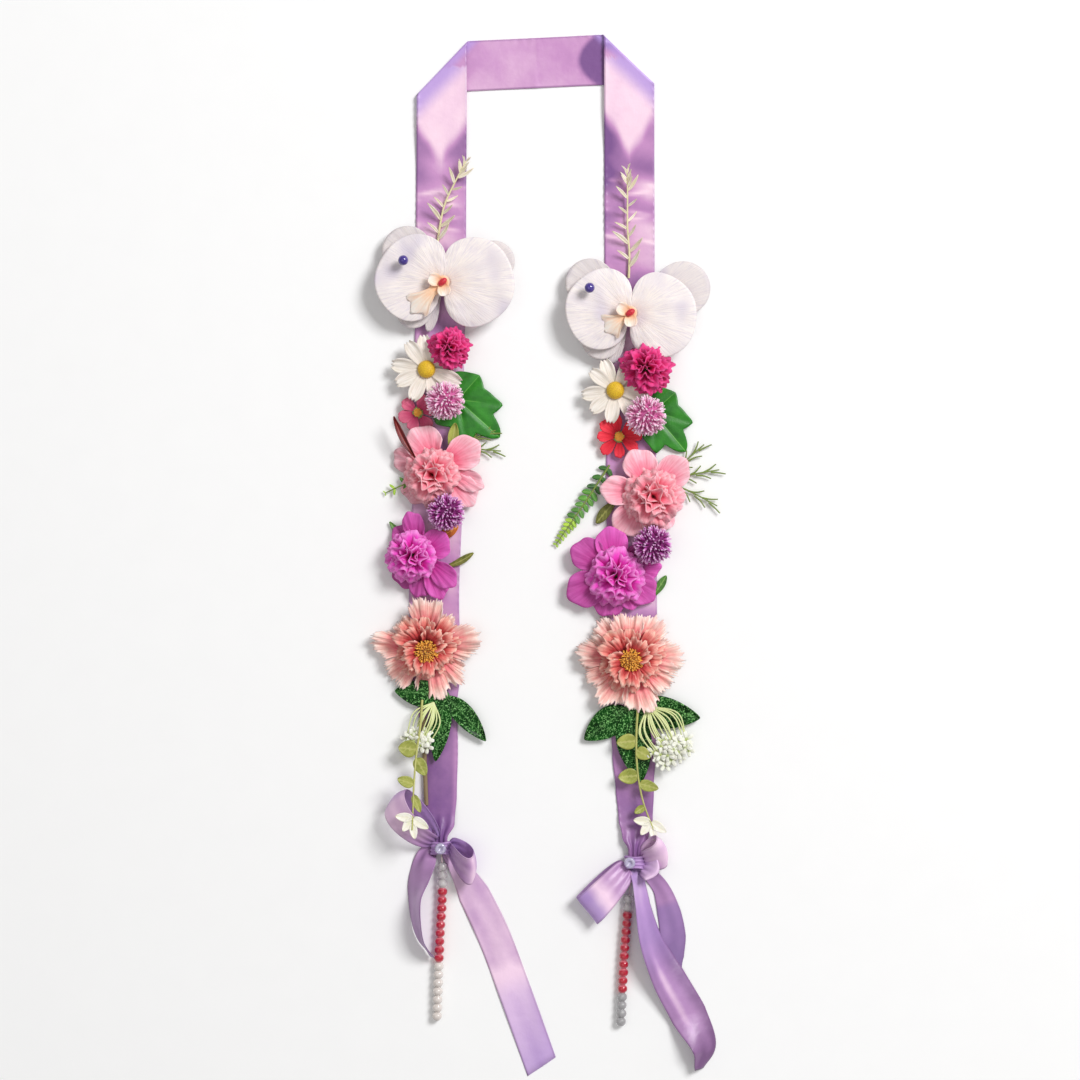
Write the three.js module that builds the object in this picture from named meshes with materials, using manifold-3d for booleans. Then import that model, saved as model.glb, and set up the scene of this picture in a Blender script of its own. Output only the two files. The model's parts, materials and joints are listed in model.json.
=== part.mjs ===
// A flower lei that lies on its back. One long satin ribbon is folded flat at the neck, a row of blooms
// and leaves is glued along each of its two strands, and each end is gathered into a bow that holds a
// string of beads. X runs across the strands, Y from the bows to the neck, Z up. Millimetres.
import * as THREE from "three";
import { mergeVertices } from "three/addons/utils/BufferGeometryUtils.js";
import Module from "manifold-3d";

const wasm = await Module();
wasm.setup();

// ---------- driving dimensions ----------
const RIBBON_T = 0.8; // thickness that every ribbon is drawn with
const BAND_W = 38; // the long ribbon
const BOW_W = 25; // the bow ribbons
const BLADE_T = 0.75; // petals and leaves
const AIR = 0.3; // gap between a piece and what it rests on
const SEAT = RIBBON_T + AIR; // height at which a glued piece meets the band
const FOLD_R = 1.3; // radius of the band's two folds
const BEAD_R = 3.8;
const BEAD_PITCH = 6.3;

// ---------- places, in the part's frame before it is centred ----------
const LEFT = {
  side: "left",
  corner: [-78.3, 374.2],
  knot: [-79, -218],
  gather: [[0, 9.6], [7, 10], [18, 21], [40, 24.5], [100, 29], [140, 38]], // distance above the knot, width
  // how far the strand wanders sideways: distance below the corner, shift
  drift: [[0, 0], [130, -0.7], [330, -3.7], [405, -6], [470, -4], [535, -1], [590, -0.7]],
  sprig: [[-82, 236, 2.6], [-80, 252, 3], [-76, 270, 4], [-68, 287, 5], [-60, 302, 6]],
  orchid: {
    at: [-77, 209], lift: 15,
    petals: [
      { heading: 168, length: 51, half: 32, climb: 3 },
      { heading: 2, length: 53, half: 32, climb: 4 },
    ],
    sepals: [
      { heading: 141, length: 54, half: 16 },
      { heading: 228, length: 43, half: 17 },
      { heading: 22, length: 56, half: 17 },
      { heading: 252, length: 42, half: 4 },
    ],
    lip: 222,
    pearl: [-106.4, 225],
  },
  smallCarnation: { at: [-72.2, 159.6], lift: 11, radius: 15.5, tilt: 8, lean: 120 },
  daisy: { at: [-89.7, 144.4], lift: 7, radius: 25, eye: 6.8, turn: 10 },
  palePompom: { at: [-75.2, 120], lift: 17.5, radius: 14.2 },
  cosmos: { at: [-96.5, 111.7], lift: 5, radius: 14.5, eye: 2.6, turn: 14 },
  ivy: { at: [-69.5, 122], heading: -32, length: 45, half: 24 },
  pinkCarnation: { at: [-82, 70.7], lift: 7, radius: 34, head: 20, tilt: 4, lean: 200, turn: 25 },
  spray: { at: [-70, 84], headings: [24, -2, 205], length: 40 },
  fern: { from: [-97, 60], to: [-121, 51], leaflets: 4 },
  smallLeaves: { at: [-84, -14], tips: [[-118, 29], [-66, 20], [-57, -3]] },
  purplePompom: { at: [-74.5, 36], lift: 16.5, radius: 13.6 },
  violet: { at: [-94, 3], lift: 9.5, radius: 31, head: 17.5, tilt: 8, lean: 180, turn: 40 },
  peach: { at: [-89.7, -66], lift: 6.5, radius: 39, eye: 8.5, tilt: 4, lean: 250, turn: 5 },
  leaves: {
    at: [-76, -103],
    blades: [
      { heading: 160, length: 34, half: 9 },
      { heading: 318, length: 44, half: 9.5 },
      { heading: 261, length: 46, half: 9.5 },
    ],
  },
  umbel: { at: [-84.5, -108], centre: [-96, -136], spread: 10 },
  vine: {
    path: [[-93, -106, 7], [-94, -124, 12], [-97, -146, 15], [-98.5, -170, 24], [-99.5, -202, 29]],
    leaves: [[0.48, 172, 13, 6.4], [0.55, 300, 15, 5], [0.72, 160, 13, 4.4], [0.8, 292, 14, 3.2]],
  },
  bow: {
    loops: [
      { tip: [-116, -190], heading: 170, height: 19, roll: 28, climb: 12 },
      { tip: [-51.5, -233.5], heading: 0, height: 17, roll: -28, climb: 9.5 },
    ],
    tails: [
      [[-75, -221, 1.6, 0, 9], [-66, -233, 1, 0, 15], [-54, -254, 0.5, 0, 24], [-40, -283, 0.5, 0, 25],
        [-24, -325, 0.5, 0, 25], [-4, -383, 0.5, 0, 25]],
      [[-83, -221, 1.6, 0, 9], [-92, -228, 5, 26, 16], [-98.5, -246, 9, 52, 21],
        [-98.5, -268, 9.5, 55, 21], [-91.5, -287, 7, 48, 16], [-87.5, -297, 3.4, 30, 7]],
    ],
  },
  beads: { path: [[-78, -229.4, 5], [-77.8, -250, 4.4], [-80, -290, 4.1], [-82, -349, 4]], clear: 3, red: 9 },
};
const RIGHT = {
  side: "right",
  corner: [63.8, 380.8],
  knot: [68, -228.8],
  gather: [[0, 9.6], [9, 10], [19, 20], [32, 26], [55, 29], [82, 33], [120, 38]],
  drift: [[0, 0], [130, 0.4], [410, 2.2], [530, 3.8], [580, 5], [604, 4.2]],
  sprig: [[63.5, 214, 2.6], [64, 232, 3], [62.5, 252, 4], [62.5, 275, 5], [62.3, 296, 6]],
  orchid: {
    at: [64, 186], lift: 15,
    petals: [
      { heading: 170, length: 48, half: 32, climb: 3 },
      { heading: -3, length: 50, half: 29, climb: 4 },
    ],
    sepals: [
      { heading: 146, length: 57, half: 17 },
      { heading: 220, length: 46, half: 17 },
      { heading: 29, length: 67, half: 17 },
      { heading: 249, length: 42, half: 5 },
    ],
    lip: 214,
    pearl: [33.4, 204.4],
  },
  smallCarnation: { at: [76.5, 144.4], lift: 11, radius: 19, tilt: 5, lean: 150 },
  daisy: { at: [53.2, 128.4], lift: 7, radius: 24, eye: 6.8, turn: 26 },
  palePompom: { at: [76, 108.7], lift: 18, radius: 15 },
  cosmos: { at: [56.2, 93.5], lift: 5, radius: 17, eye: 3.1, turn: 4 },
  ivy: { at: [77, 112], heading: -38, length: 40, half: 22 },
  pinkCarnation: { at: [78.3, 51.7], lift: 7, radius: 34, head: 20.5, tilt: 4, lean: 20, turn: 50 },
  spray: { at: [92, 60], headings: [44, 12, -24], length: 42 },
  fern: { from: [49, 72], to: [8.5, 12], leaflets: 11 },
  smallLeaves: { at: [60, -20], tips: [[92, -6], [31, -26], [41, 31]] },
  purplePompom: { at: [81.3, 11.4], lift: 16.5, radius: 14.2 },
  violet: { at: [52, -9], lift: 7, radius: 34, head: 19, tilt: 3, lean: 0, turn: 10 },
  peach: { at: [64.6, -76], lift: 6.5, radius: 40, eye: 9, tilt: 3, lean: 90, turn: 17 },
  leaves: {
    at: [63, -112],
    blades: [
      { heading: 200, length: 37, half: 10.5 },
      { heading: 14, length: 37, half: 10 },
      { heading: 264, length: 53, half: 10 },
    ],
  },
  umbel: { at: [78, -111], centre: [95, -144], spread: 16 },
  vine: {
    path: [[70.5, -109, 7], [69, -135, 9.5], [70, -160, 9], [74, -182, 9], [82, -204, 10]],
    leaves: [
      [0.28, 185, 15, 6], [0.33, 330, 12, 5], [0.55, 184, 15, 6], [0.6, 345, 15, 4.4], [0.8, 212, 9, 3],
    ],
  },
  bow: {
    loops: [
      { tip: [31.5, -265], heading: 217, height: 10, roll: 5, climb: 5 },
      { tip: [93, -221], heading: 18, height: 12, roll: -30, climb: 9 },
    ],
    tails: [
      [[69, -232, 1, 0, 9], [71, -244, 7, -46, 14], [74, -262, 9.8, -56, 20], [81, -290, 9.5, -44, 25],
        [94, -318, 5, -22, 25], [109, -345, 2.5, -12, 25], [121, -370, 7, -40, 21], [117, -386, 5, -46, 9]],
      [[74, -231, 1.6, 0, 9], [83, -238, 1, 0, 18], [92, -254, 0.5, 0, 24], [98, -278, 0.5, 0, 25],
        [101.5, -303, 0.5, 0, 24]],
    ],
  },
  beads: {
    path: [[63.5, -254, 4], [62, -275, 4], [60, -300, 4], [57.5, -353, 4]], clear: 2, red: 10,
    thread: [[67, -234, 1.2], [65.2, -244, 2.6], [63.4, -256, 4]],
  },
};

// ---------- finishes ----------
const finish = (color, roughness) => new THREE.MeshStandardMaterial({ color, roughness, metalness: 0 });
const SATIN = finish("#c08fd0", 0.35);
const WHITE_SILK = finish("#f3ece8", 0.7);
const PEACH_LIP = finish("#fbd9ae", 0.6);
const RED_COAT = finish("#d8203c", 0.4);
const PURPLE_PEARL = finish("#5b3f9c", 0.25);
const YELLOW_EYE = finish("#e6bd12", 0.5);
const MAGENTA = finish("#cf1068", 0.7);
const LILAC = finish("#dc8fd2", 0.7);
const PURPLE = finish("#8a3f9f", 0.7);
const PINK = finish("#f27f9c", 0.7);
const VIOLET = finish("#cb3dab", 0.7);
const PEACH = finish("#f2a48f", 0.7);
const AMBER = finish("#f2a032", 0.6);
const LEAF_GREEN = finish("#2e8f22", 0.55);
const DARK_GREEN = finish("#1c5a24", 0.5);
const FRESH_GREEN = finish("#a3b648", 0.6);
const PALE_STEM = finish("#d8cf96", 0.6);
const CLEAR_BEAD = finish("#c9c4cc", 0.15);
const RED_BEAD = finish("#cf2340", 0.2);
const PEARL = finish("#efe6e2", 0.2);

// ---------- shape helpers ----------
const UP = new THREE.Vector3(0, 0, 1);
const vector = (x, y, z) => new THREE.Vector3(x, y, z);
const radians = THREE.MathUtils.degToRad;
const wave = (i, k) => Math.sin(i * 12.9898 + k * 78.233); // a fixed, uneven sequence from -1 to 1

// A closed skin through rings of points, all with the same count. Opposite halves of a ring are split
// alike, or, where it is woven, every other square is split the other way.
function loft(rings, woven = false) {
  const sides = rings[0].length;
  const last = (rings.length - 1) * sides;
  const faces = [];
  const quad = (a, b, c, d) => faces.push(a, b, c, a, c, d);
  for (let i = 0; i < last; i += sides) {
    for (let k = 0; k < sides; k++) {
      const [a, b] = [i + k, i + ((k + 1) % sides)];
      if (woven ? (k + i / sides) % 2 === 0 : k < sides / 2) quad(a, b, b + sides, a + sides);
      else quad(b, b + sides, a + sides, a);
    }
  }
  for (let j = 0; j + 1 < Math.floor(sides / 2); j++) {
    const k = sides - 1 - j;
    quad(j, k, k - 1, j + 1);
    quad(last + j, last + j + 1, last + k - 1, last + k);
  }
  if (sides % 2) {
    const m = (sides - 1) / 2;
    faces.push(m - 1, m + 1, m, last + m - 1, last + m, last + m + 1);
  }
  const geometry = new THREE.BufferGeometry().setFromPoints(rings.flat());
  geometry.setIndex(faces);
  return facingOut(geometry);
}

// Turns every face round if the closed skin is inside out.
function facingOut(geometry) {
  const p = geometry.getAttribute("position");
  const index = geometry.getIndex().array;
  const corner = (n) => vector().fromBufferAttribute(p, index[n]);
  let volume = 0;
  for (let n = 0; n < index.length; n += 3) volume += corner(n).cross(corner(n + 1)).dot(corner(n + 2));
  if (volume < 0) geometry.setIndex(Array.from(index).reverse());
  return geometry;
}

// A geometry as a solid that can be joined and cut.
function solid(geometry) {
  const bare = geometry.clone();
  bare.deleteAttribute("normal");
  bare.deleteAttribute("uv");
  const merged = mergeVertices(bare, 1e-4);
  const triVerts = new Uint32Array(merged.index.array);
  return new wasm.Manifold(new wasm.Mesh({
    numProp: 3, vertProperties: merged.getAttribute("position").array, triVerts,
  }));
}

const join = (geometries) => wasm.Manifold.union(geometries.map(solid));

// The largest body of a solid, without the scraps that a cut leaves.
function largest(shape) {
  const bodies = shape.decompose();
  return bodies.reduce((a, b) => (a.volume() > b.volume() ? a : b));
}

// Smooth value at d of a table of [distance, value] rows.
function along(table, d) {
  const n = table.findIndex((row) => row[0] > d);
  if (n < 0) return table[table.length - 1][1];
  if (n === 0) return table[0][1];
  const [[d0, v0], [d1, v1]] = [table[n - 1], table[n]];
  return v0 + (v1 - v0) * THREE.MathUtils.smoothstep(d, d0, d1);
}

// A thin blade from the origin along +X with its face up. half(u) is its half width, rise(u, v) its
// height and sweep(u, v) a shift along it. grow makes it larger all round.
function blade({ length, half, rise = () => 0, sweep = () => 0, rows = 3, cols = 2, grow = 0 }) {
  const rings = [];
  for (let i = 0; i <= rows; i++) {
    const u = i / rows;
    const face = [];
    const back = [];
    for (let j = 0; j < cols; j++) {
      const v = (2 * j) / (cols - 1) - 1;
      const x = (length + grow) * u + sweep(u, v);
      const y = (half(u) + grow) * v;
      const z = rise(u, v);
      face.push(vector(x, y, z + BLADE_T / 2 + grow));
      back.unshift(vector(x, y, z - BLADE_T / 2 - grow));
    }
    rings.push([...face, ...back]);
  }
  return loft(rings);
}

// A blade set on a bloom: raised by climb degrees, turned to heading, its root at reach from the axis.
function set(geometry, { climb = 0, heading = 0, reach = 0, height = 0, roll = 0 }) {
  return geometry.rotateX(radians(roll)).rotateY(-radians(climb)).translate(reach, 0, height)
    .rotateZ(radians(heading));
}

// A round rod through points, with a radius at each end.
function rod(points, r0, r1 = r0, sides = 5, steps = points.length * 2) {
  const path = new THREE.CatmullRomCurve3(points.map((p) => vector(...p)));
  const rings = [];
  for (let i = 0; i <= steps; i++) {
    const u = i / steps;
    const [at, heading] = [path.getPoint(u), path.getTangent(u)];
    const aside = Math.abs(heading.z) > 0.9 ? vector(1, 0, 0) : UP;
    const across = vector().crossVectors(heading, aside).normalize();
    const over = vector().crossVectors(across, heading);
    const r = r0 + (r1 - r0) * u;
    rings.push(Array.from({ length: sides }, (_, k) => {
      const a = (2 * Math.PI * k) / sides;
      return at.clone().addScaledVector(across, r * Math.cos(a)).addScaledVector(over, r * Math.sin(a));
    }));
  }
  return loft(rings);
}

// The foot of a glued piece, standing on the band.
const foot = (at, radius, top, grow = 0) => turned([[0, SEAT], [radius + grow, SEAT],
  [radius * 0.85 + grow, top + grow], [0, top + 0.4 + grow]], 6).translate(at[0], at[1], 0);

const ball = (radius, squash = 1, around = 10, down = 7) =>
  new THREE.SphereGeometry(radius, around, down).scale(1, 1, squash);

// A round solid whose profile is a list of [radius, height] from axis to axis.
const turned = (profile, around = 8) =>
  new THREE.LatheGeometry(profile.map(([r, z]) => new THREE.Vector2(r, z)), around).rotateX(Math.PI / 2);

// ---------- placing: a piece gives way to every piece placed before it ----------
const lei = new THREE.Group();
const keepouts = [];

function place(name, shape, material) {
  const { vertProperties, triVerts } = shape.asOriginal().simplify(0.05).getMesh();
  const geometry = new THREE.BufferGeometry();
  geometry.setAttribute("position", new THREE.BufferAttribute(vertProperties, 3));
  geometry.setIndex(new THREE.BufferAttribute(triVerts, 1));
  const mesh = new THREE.Mesh(geometry, material);
  mesh.name = name;
  lei.add(mesh);
}

function clearOfOthers(shape) {
  const box = shape.boundingBox();
  const near = keepouts.filter((k) => {
    const other = k.boundingBox();
    return [0, 1, 2].every((n) => other.min[n] < box.max[n] && other.max[n] > box.min[n]);
  });
  return near.length ? largest(shape.subtract(wasm.Manifold.union(near))) : shape;
}

// Places geometries as one node, cut back from what is there already, and keeps its own room clear.
function settle(name, geometries, material, room = []) {
  place(name, clearOfOthers(join(geometries)), material);
  room.forEach((geometry) => keepouts.push(solid(geometry)));
}

// Moves geometries built on a bloom's own axis to its place on the strand, tilted about its base.
function onStrand(bloom, geometries) {
  const lean = radians(bloom.lean ?? 0);
  const tilt = new THREE.Matrix4().makeRotationAxis(
    vector(-Math.sin(lean), Math.cos(lean), 0), radians(bloom.tilt ?? 0));
  const move = new THREE.Matrix4().makeTranslation(bloom.at[0], bloom.at[1], bloom.lift);
  return geometries.map((geometry) => geometry.clone().applyMatrix4(tilt).applyMatrix4(move));
}

// The stub that carries a bloom, from the band's face up into its base.
function stub({ at, lift }, r0 = 3, r1 = 4.5, grow = 0) {
  const profile = [[0, SEAT], [r0 + grow, SEAT], [r1 + grow, lift + 0.8], [0, lift + 1.5]];
  return turned(profile, 7).translate(at[0], at[1], 0);
}

// ---------- blooms ----------
// A ball whose surface stands up in pointed florets, by every other point of its rings.
function floretBall(radius, depth, squash = 1, around = 14, down = 8) {
  return loft(Array.from({ length: down - 1 }, (_, i) => {
    const a = (Math.PI * (i + 1)) / down;
    return Array.from({ length: around }, (_, k) => {
      const r = radius * ((i + k) % 2 ? 1 - 0.05 * (1 + wave(i, k)) : 1 - depth);
      const turn = (2 * Math.PI * k) / around;
      const out = r * Math.sin(a);
      return vector(out * Math.cos(turn), out * Math.sin(turn), -r * squash * Math.cos(a));
    });
  }), true);
}

function pompom(name, bloom, material) {
  const base = (grow) => stub({ ...bloom, lift: bloom.lift - bloom.radius * 0.6 }, 2.6, 3.5, grow);
  settle(name, [...onStrand(bloom, [floretBall(bloom.radius, 0.3)]), base(0)], material,
    [...onStrand(bloom, [ball(bloom.radius + AIR, 1, 12, 8)]), base(AIR)]);
}

// Petals in layers that share their roots. Each layer flares out to its rim and comes back in to the
// root of the next; edge(k) shapes the rim and fold(k) lifts it, for each of the points round it.
function layered(around, start, layers) {
  const ring = (r, z, turn = 0, edge = () => 1, fold = () => 0) => Array.from({ length: around }, (_, k) => {
    const a = (2 * Math.PI * (k + turn)) / around;
    return vector(r * edge(k) * Math.cos(a), r * edge(k) * Math.sin(a), z + fold(k));
  });
  return loft([ring(...start), ...layers.flatMap(({ rim, root, turn, edge, fold }) => [
    ring(rim[0], rim[1] - BLADE_T / 2, turn, edge, fold),
    ring(rim[0], rim[1] + BLADE_T / 2, turn, edge, fold),
    ring(...root, turn),
  ])]);
}

// The ruffled heart of a carnation, three frilled layers deep.
const ruffles = (r, around, seed) => layered(around, [r * 0.3, -r * 0.16], [
  { rim: [r, r * 0.14], root: [r * 0.4, r * 0.34], turn: 0 },
  { rim: [r * 0.9, r * 0.56], root: [r * 0.24, r * 0.6], turn: 0.4 },
  { rim: [r * 0.56, r * 0.95], root: [r * 0.1, r * 0.72], turn: 0.9 },
].map((layer, n) => ({
  ...layer, edge: (k) => (k % 2 ? 0.86 : 1) + 0.05 * wave(k, seed + n),
  fold: (k) => r * (k % 2 ? 0.11 : -0.09) * (1 + 0.4 * wave(k, seed + n + 5)),
})));

// The room that a carnation's heart takes up.
const heartRoom = (r, grow) => turned([
  [0, -r * 0.16 - grow], [r * 0.3 + grow, -r * 0.16 - grow], [r + grow, -grow],
  [r + grow, r * 0.4], [r * 0.75 + grow, r + grow], [0, r * 1.1 + grow],
], 12);

// Broad rounded petals in one ring, each cupped and a little waved.
function roundPetals({ count, length, half, turn, grow = 0 }) {
  return Array.from({ length: count }, (_, i) => set(blade({
    length: length * (0.86 + 0.06 * wave(i, count)), rows: 3, cols: 3, grow,
    half: (u) => half * [0.2, 0.78, 1, 0.58][Math.round(u * 3)],
    rise: (u, v) => half * (0.2 * v * v * u - 0.1 * u * u),
  }), {
    climb: i % 2 ? 5 : 0, heading: turn + (360 * i) / count + 4 * wave(i, 2),
    reach: length * 0.13, height: -2.2,
  }));
}

function smallCarnation(name, bloom) {
  settle(name, [...onStrand(bloom, [ruffles(bloom.radius, 14, 3)]), stub(bloom)], MAGENTA,
    [...onStrand(bloom, [heartRoom(bloom.radius, AIR)]), stub(bloom, 3, 4.5, AIR)]);
}

// A ruffled heart over one ring of broad petals.
function ringedCarnation(name, bloom, material, petals) {
  const { radius, head, turn } = bloom;
  const skirt = (grow) => roundPetals({ count: petals, length: radius, half: radius * 0.42, turn, grow });
  const shapes = (heart, grow) => [...onStrand(bloom, [heart, ...skirt(grow)]), stub(bloom, 3, 4.5, grow)];
  settle(name, shapes(ruffles(head, 14, petals), 0), material, shapes(heartRoom(head, AIR), AIR));
}

// Separate petals round a disc that carries the eye. outline holds [share of a petal's pitch, share of
// the radius] for each point of one petal, from the notch before it.
function rayFlower(name, bloom, material, { count, outline, climb, eyeMaterial }) {
  const { radius, eye, turn } = bloom;
  const around = count * outline.length;
  const ring = (r, z, petals, grow = 0) => Array.from({ length: around }, (_, k) => {
    const [share, reach] = outline[k % outline.length];
    const n = Math.floor(k / outline.length);
    const part = petals ? share : (k % outline.length) / outline.length;
    const a = radians(turn) + (2 * Math.PI * (n + part)) / count;
    const out = petals ? r * reach * (1 + (reach > 0.5 ? 0.06 * wave(n, count) : 0)) + grow : r;
    const rise = Math.tan(radians(climb + 5 * wave(n, 3))) * out - 0.1 * radius * reach * reach;
    return vector(out * Math.cos(a), out * Math.sin(a), petals ? z + rise : z);
  });
  const rays = (grow) => loft([
    ring(eye * 0.6, -1.2 - grow, false),
    ring(radius, -BLADE_T / 2 - grow, true, grow * 2),
    ring(radius, BLADE_T / 2 + grow, true, grow * 2),
    ring(eye * 0.5, 1.6 + grow, false),
  ]);
  const dome = turned(
    [[0, 0], [eye, 0], [eye * 0.86, eye * 0.4], [eye * 0.4, eye * 0.68], [0, eye * 0.72]], 10);
  const room = turned([[0, 0], [eye + AIR, 0], [eye + AIR, eye], [0, eye]]);
  const above = (gap) => ({ ...bloom, lift: bloom.lift + 1.6 + gap });
  settle(`${name}_eye`, onStrand(above(AIR), [dome]), eyeMaterial, onStrand(above(0), [room]));
  settle(`${name}_petals`, [...onStrand(bloom, [rays(0)]), stub(bloom, 2.4, 3.2)], material,
    [...onStrand(bloom, [rays(AIR)]), stub(bloom, 2.4, 3.2, AIR)]);
}

// Three layers of petals with toothed ends round a tuft of stamens.
function peachBloom(name, bloom) {
  const { radius: r, eye } = bloom;
  const teeth = [0.76, 1, 0.9, 1.02];
  const bloomOf = (grow) => layered(32, [6 + grow, -1.5 - grow], [
    { rim: [r, r * 0.16], root: [9, 2.6], turn: 0 },
    { rim: [r * 0.76, r * 0.36], root: [7.5, 4], turn: 2 },
    { rim: [r * 0.46, r * 0.42], root: [6.2, 5], turn: 3.4 },
  ].map(({ rim: [out, z], ...layer }, n) => ({
    ...layer, rim: [out + grow, z], edge: (k) => teeth[k % 4] + 0.05 * wave(Math.floor(k / 4), n),
    fold: (k) => r * (0.05 * wave(Math.floor(k / 4), n + 3) + [0, 0.03, -0.02, 0.03][k % 4]),
  })));
  const tuft = [turned([[0, 0], [eye * 0.55, 0], [eye * 0.6, 2.4], [0, 4]], 8)];
  for (let i = 0; i < 16; i++) {
    const climb = i < 10 ? 40 : 68;
    tuft.push(set(new THREE.ConeGeometry(0.8, eye * 1.1, 3).rotateZ(-Math.PI / 2).translate(eye * 0.55, 0, 0),
      { climb: climb + 5 * wave(i, 2), heading: (360 * i) / (i < 10 ? 10 : 6), height: 1.4 }));
  }
  const over = (gap) => ({ ...bloom, lift: bloom.lift + 5 + gap });
  const cone = [[0, 0], [eye * 0.6 + AIR, 0], [eye * 1.1, eye * 0.9], [eye * 0.5, eye * 1.5], [0, eye * 1.5]];
  settle(`${name}_stamens`, onStrand(over(AIR), tuft), AMBER, onStrand(over(0), [turned(cone, 10)]));
  settle(name, [...onStrand(bloom, [bloomOf(0)]), stub(bloom)], PEACH,
    [...onStrand(bloom, [bloomOf(AIR)]), stub(bloom, 3, 4.5, AIR)]);
}

// A moth orchid: two broad petals over smaller sepals, a lip with a coated column, a pearl-headed pin.
function orchid(name, bloom) {
  const fan = ({ heading, length, half, climb = 0, height = 0, reach = 0, grow = 0, rows = 4 }) => set(blade({
    length, rows, cols: 3, grow,
    half: (u) => half * (0.12 + 0.88 * Math.sin(Math.PI * Math.min(0.9, 0.06 + u * 0.84)) ** 0.7),
    rise: (u, v) => 0.1 * half * (v * v * u - 1.1 * u * u),
  }), { heading, climb, height, reach });
  const petals = (grow) => bloom.petals.map((p) => fan({ ...p, height: 2.2, grow }));
  const sepals = (grow) => bloom.sepals.map((p, i) => fan({
    ...p, climb: -4, height: -1.4 * (i + 1) + 1, reach: 2, rows: 3, grow,
  }));
  const pearlAt = { at: bloom.pearl, lift: bloom.lift + 10.6 };
  const pin = (low, radius) => turned([[0, low], [radius, low], [radius, 0], [0, 0]], 5);
  settle(`${name}_pearl_pin`, onStrand(pearlAt, [ball(3.9, 1, 8, 6), pin(-7.4, 0.7)]), PURPLE_PEARL,
    onStrand(pearlAt, [ball(3.9 + AIR, 1, 8, 6), pin(-9, 1 + AIR)]));
  const column = { ...bloom, lift: bloom.lift + 8.4 };
  settle(`${name}_column`, onStrand(column, [ball(2.9, 0.8, 7, 5)]), RED_COAT,
    onStrand(column, [ball(2.9 + AIR, 0.85, 8, 6)]));
  const lobe = (heading, length, half, climb) => set(blade({
    length, rows: 2, cols: 3, half: (u) => half * [0.45, 1, 0.6][Math.round(u * 2)],
    rise: (u, v) => half * 0.25 * v * v,
  }), { heading: bloom.lip + heading, climb, height: 5.2 });
  const cup = turned([[0, 3.4], [4, 3.4], [5.5, 5], [4.5, 6.4], [0, 6.4]], 7);
  const lobes = [lobe(0, 26, 6.5, 6), lobe(52, 13, 4.5, 20), lobe(-52, 13, 4.5, 20)];
  settle(`${name}_lip`, onStrand(bloom, [cup, ...lobes]), PEACH_LIP, onStrand(bloom, [
    cup.clone().scale(1.08, 1.08, 1).translate(0, 0, -AIR), turned([[0, 3], [6, 3], [6, 8], [0, 8]]),
  ]));
  const heart = turned([[0, -2], [6, -2], [7, 1], [5, 3], [0, 3]], 8);
  const flower = (grow) => [
    ...onStrand(bloom, [heart, ...petals(grow), ...sepals(grow)]), stub(bloom, 3, 4.5, grow),
  ];
  settle(`${name}_petals`, flower(0), WHITE_SILK, flower(AIR));
}

// ---------- leaves and sprays, which lie on the band ----------
function ivyLeaf(name, { at, heading, length, half }) {
  const lobes = [0.3, 0.95, 0.72, 1, 0.6, 0.74, 0.4, 0.26, 0.05];
  const leaf = (grow) => [set(blade({
    length, rows: 8, cols: 3, grow, half: (u) => half * lobes[Math.round(u * 8)],
    rise: (u, v) => 3.4 * Math.sin(Math.PI * u) * (0.25 + 0.75 * v * v),
  }), { heading, height: SEAT + BLADE_T / 2 }).translate(at[0], at[1], 0)];
  settle(name, leaf(0), LEAF_GREEN, leaf(AIR));
}

function mottledLeaves(name, { at, blades }) {
  const leaf = ({ heading, length, half }, i, grow) => set(blade({
    length, rows: 4, cols: 3, grow, half: (u) => half * [0.16, 0.92, 1.04, 0.74, 0.06][Math.round(u * 4)],
    rise: (u, v) => 2.2 * u * v * v - 1.2 * u * u + 1.6 * Math.sin(Math.PI * u),
  }), { heading, height: SEAT + 1 + 0.5 * i, climb: 2, reach: 1 }).translate(at[0], at[1], 0);
  const shapes = (grow) => [foot(at, 3.6, SEAT + 2.4, grow), ...blades.map((b, i) => leaf(b, i, grow))];
  settle(name, shapes(0), DARK_GREEN, shapes(AIR));
}

// Narrow leaves that reach out from under a bloom, from one foot.
function smallLeaves(name, { at, tips }) {
  const shapes = (grow) => [foot(at, 2.6, SEAT + 2, grow), ...tips.map(([x, y], i) => {
    const [dx, dy] = [x - at[0], y - at[1]];
    const heading = THREE.MathUtils.radToDeg(Math.atan2(dy, dx));
    return set(blade({
      length: Math.hypot(dx, dy), rows: 3, cols: 2, grow, half: (u) => [0.8, 1.2, 4, 0.5][Math.round(u * 3)],
    }), { heading, height: SEAT + 1 + 0.2 * i }).translate(at[0], at[1], 0);
  })];
  settle(name, shapes(0), LEAF_GREEN, shapes(AIR));
}

// Forked twigs that fan out from one root.
function spray(name, { at, headings, length }) {
  const twigs = (grow) => headings.flatMap((heading, i) => {
    const [c, s] = [Math.cos(radians(heading)), Math.sin(radians(heading))];
    const point = (d, z, off = 0) => [at[0] + c * d - s * off, at[1] + s * d + c * off, z];
    const reach = length * (1 + 0.12 * wave(i, 4));
    const stem = [point(0.8, 2.2), point(reach * 0.5, 2.8), point(reach, 2.6)];
    const main = rod(stem, 0.7 + grow, 0.5 + grow, 3, 2);
    const forks = [0.3, 0.5, 0.7].map((u, k) => {
      const fork = [point(reach * u, 2.7), point(reach * (u + 0.3), 2.7, k % 2 ? -7 : 7)];
      return rod(fork, 0.55 + grow, 0.45 + grow, 3, 1);
    });
    return [main, ...forks];
  });
  settle(name, [...twigs(0), foot(at, 1.8, 2.6)], FRESH_GREEN, [...twigs(AIR), foot(at, 1.8, 2.6, AIR)]);
}

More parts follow.
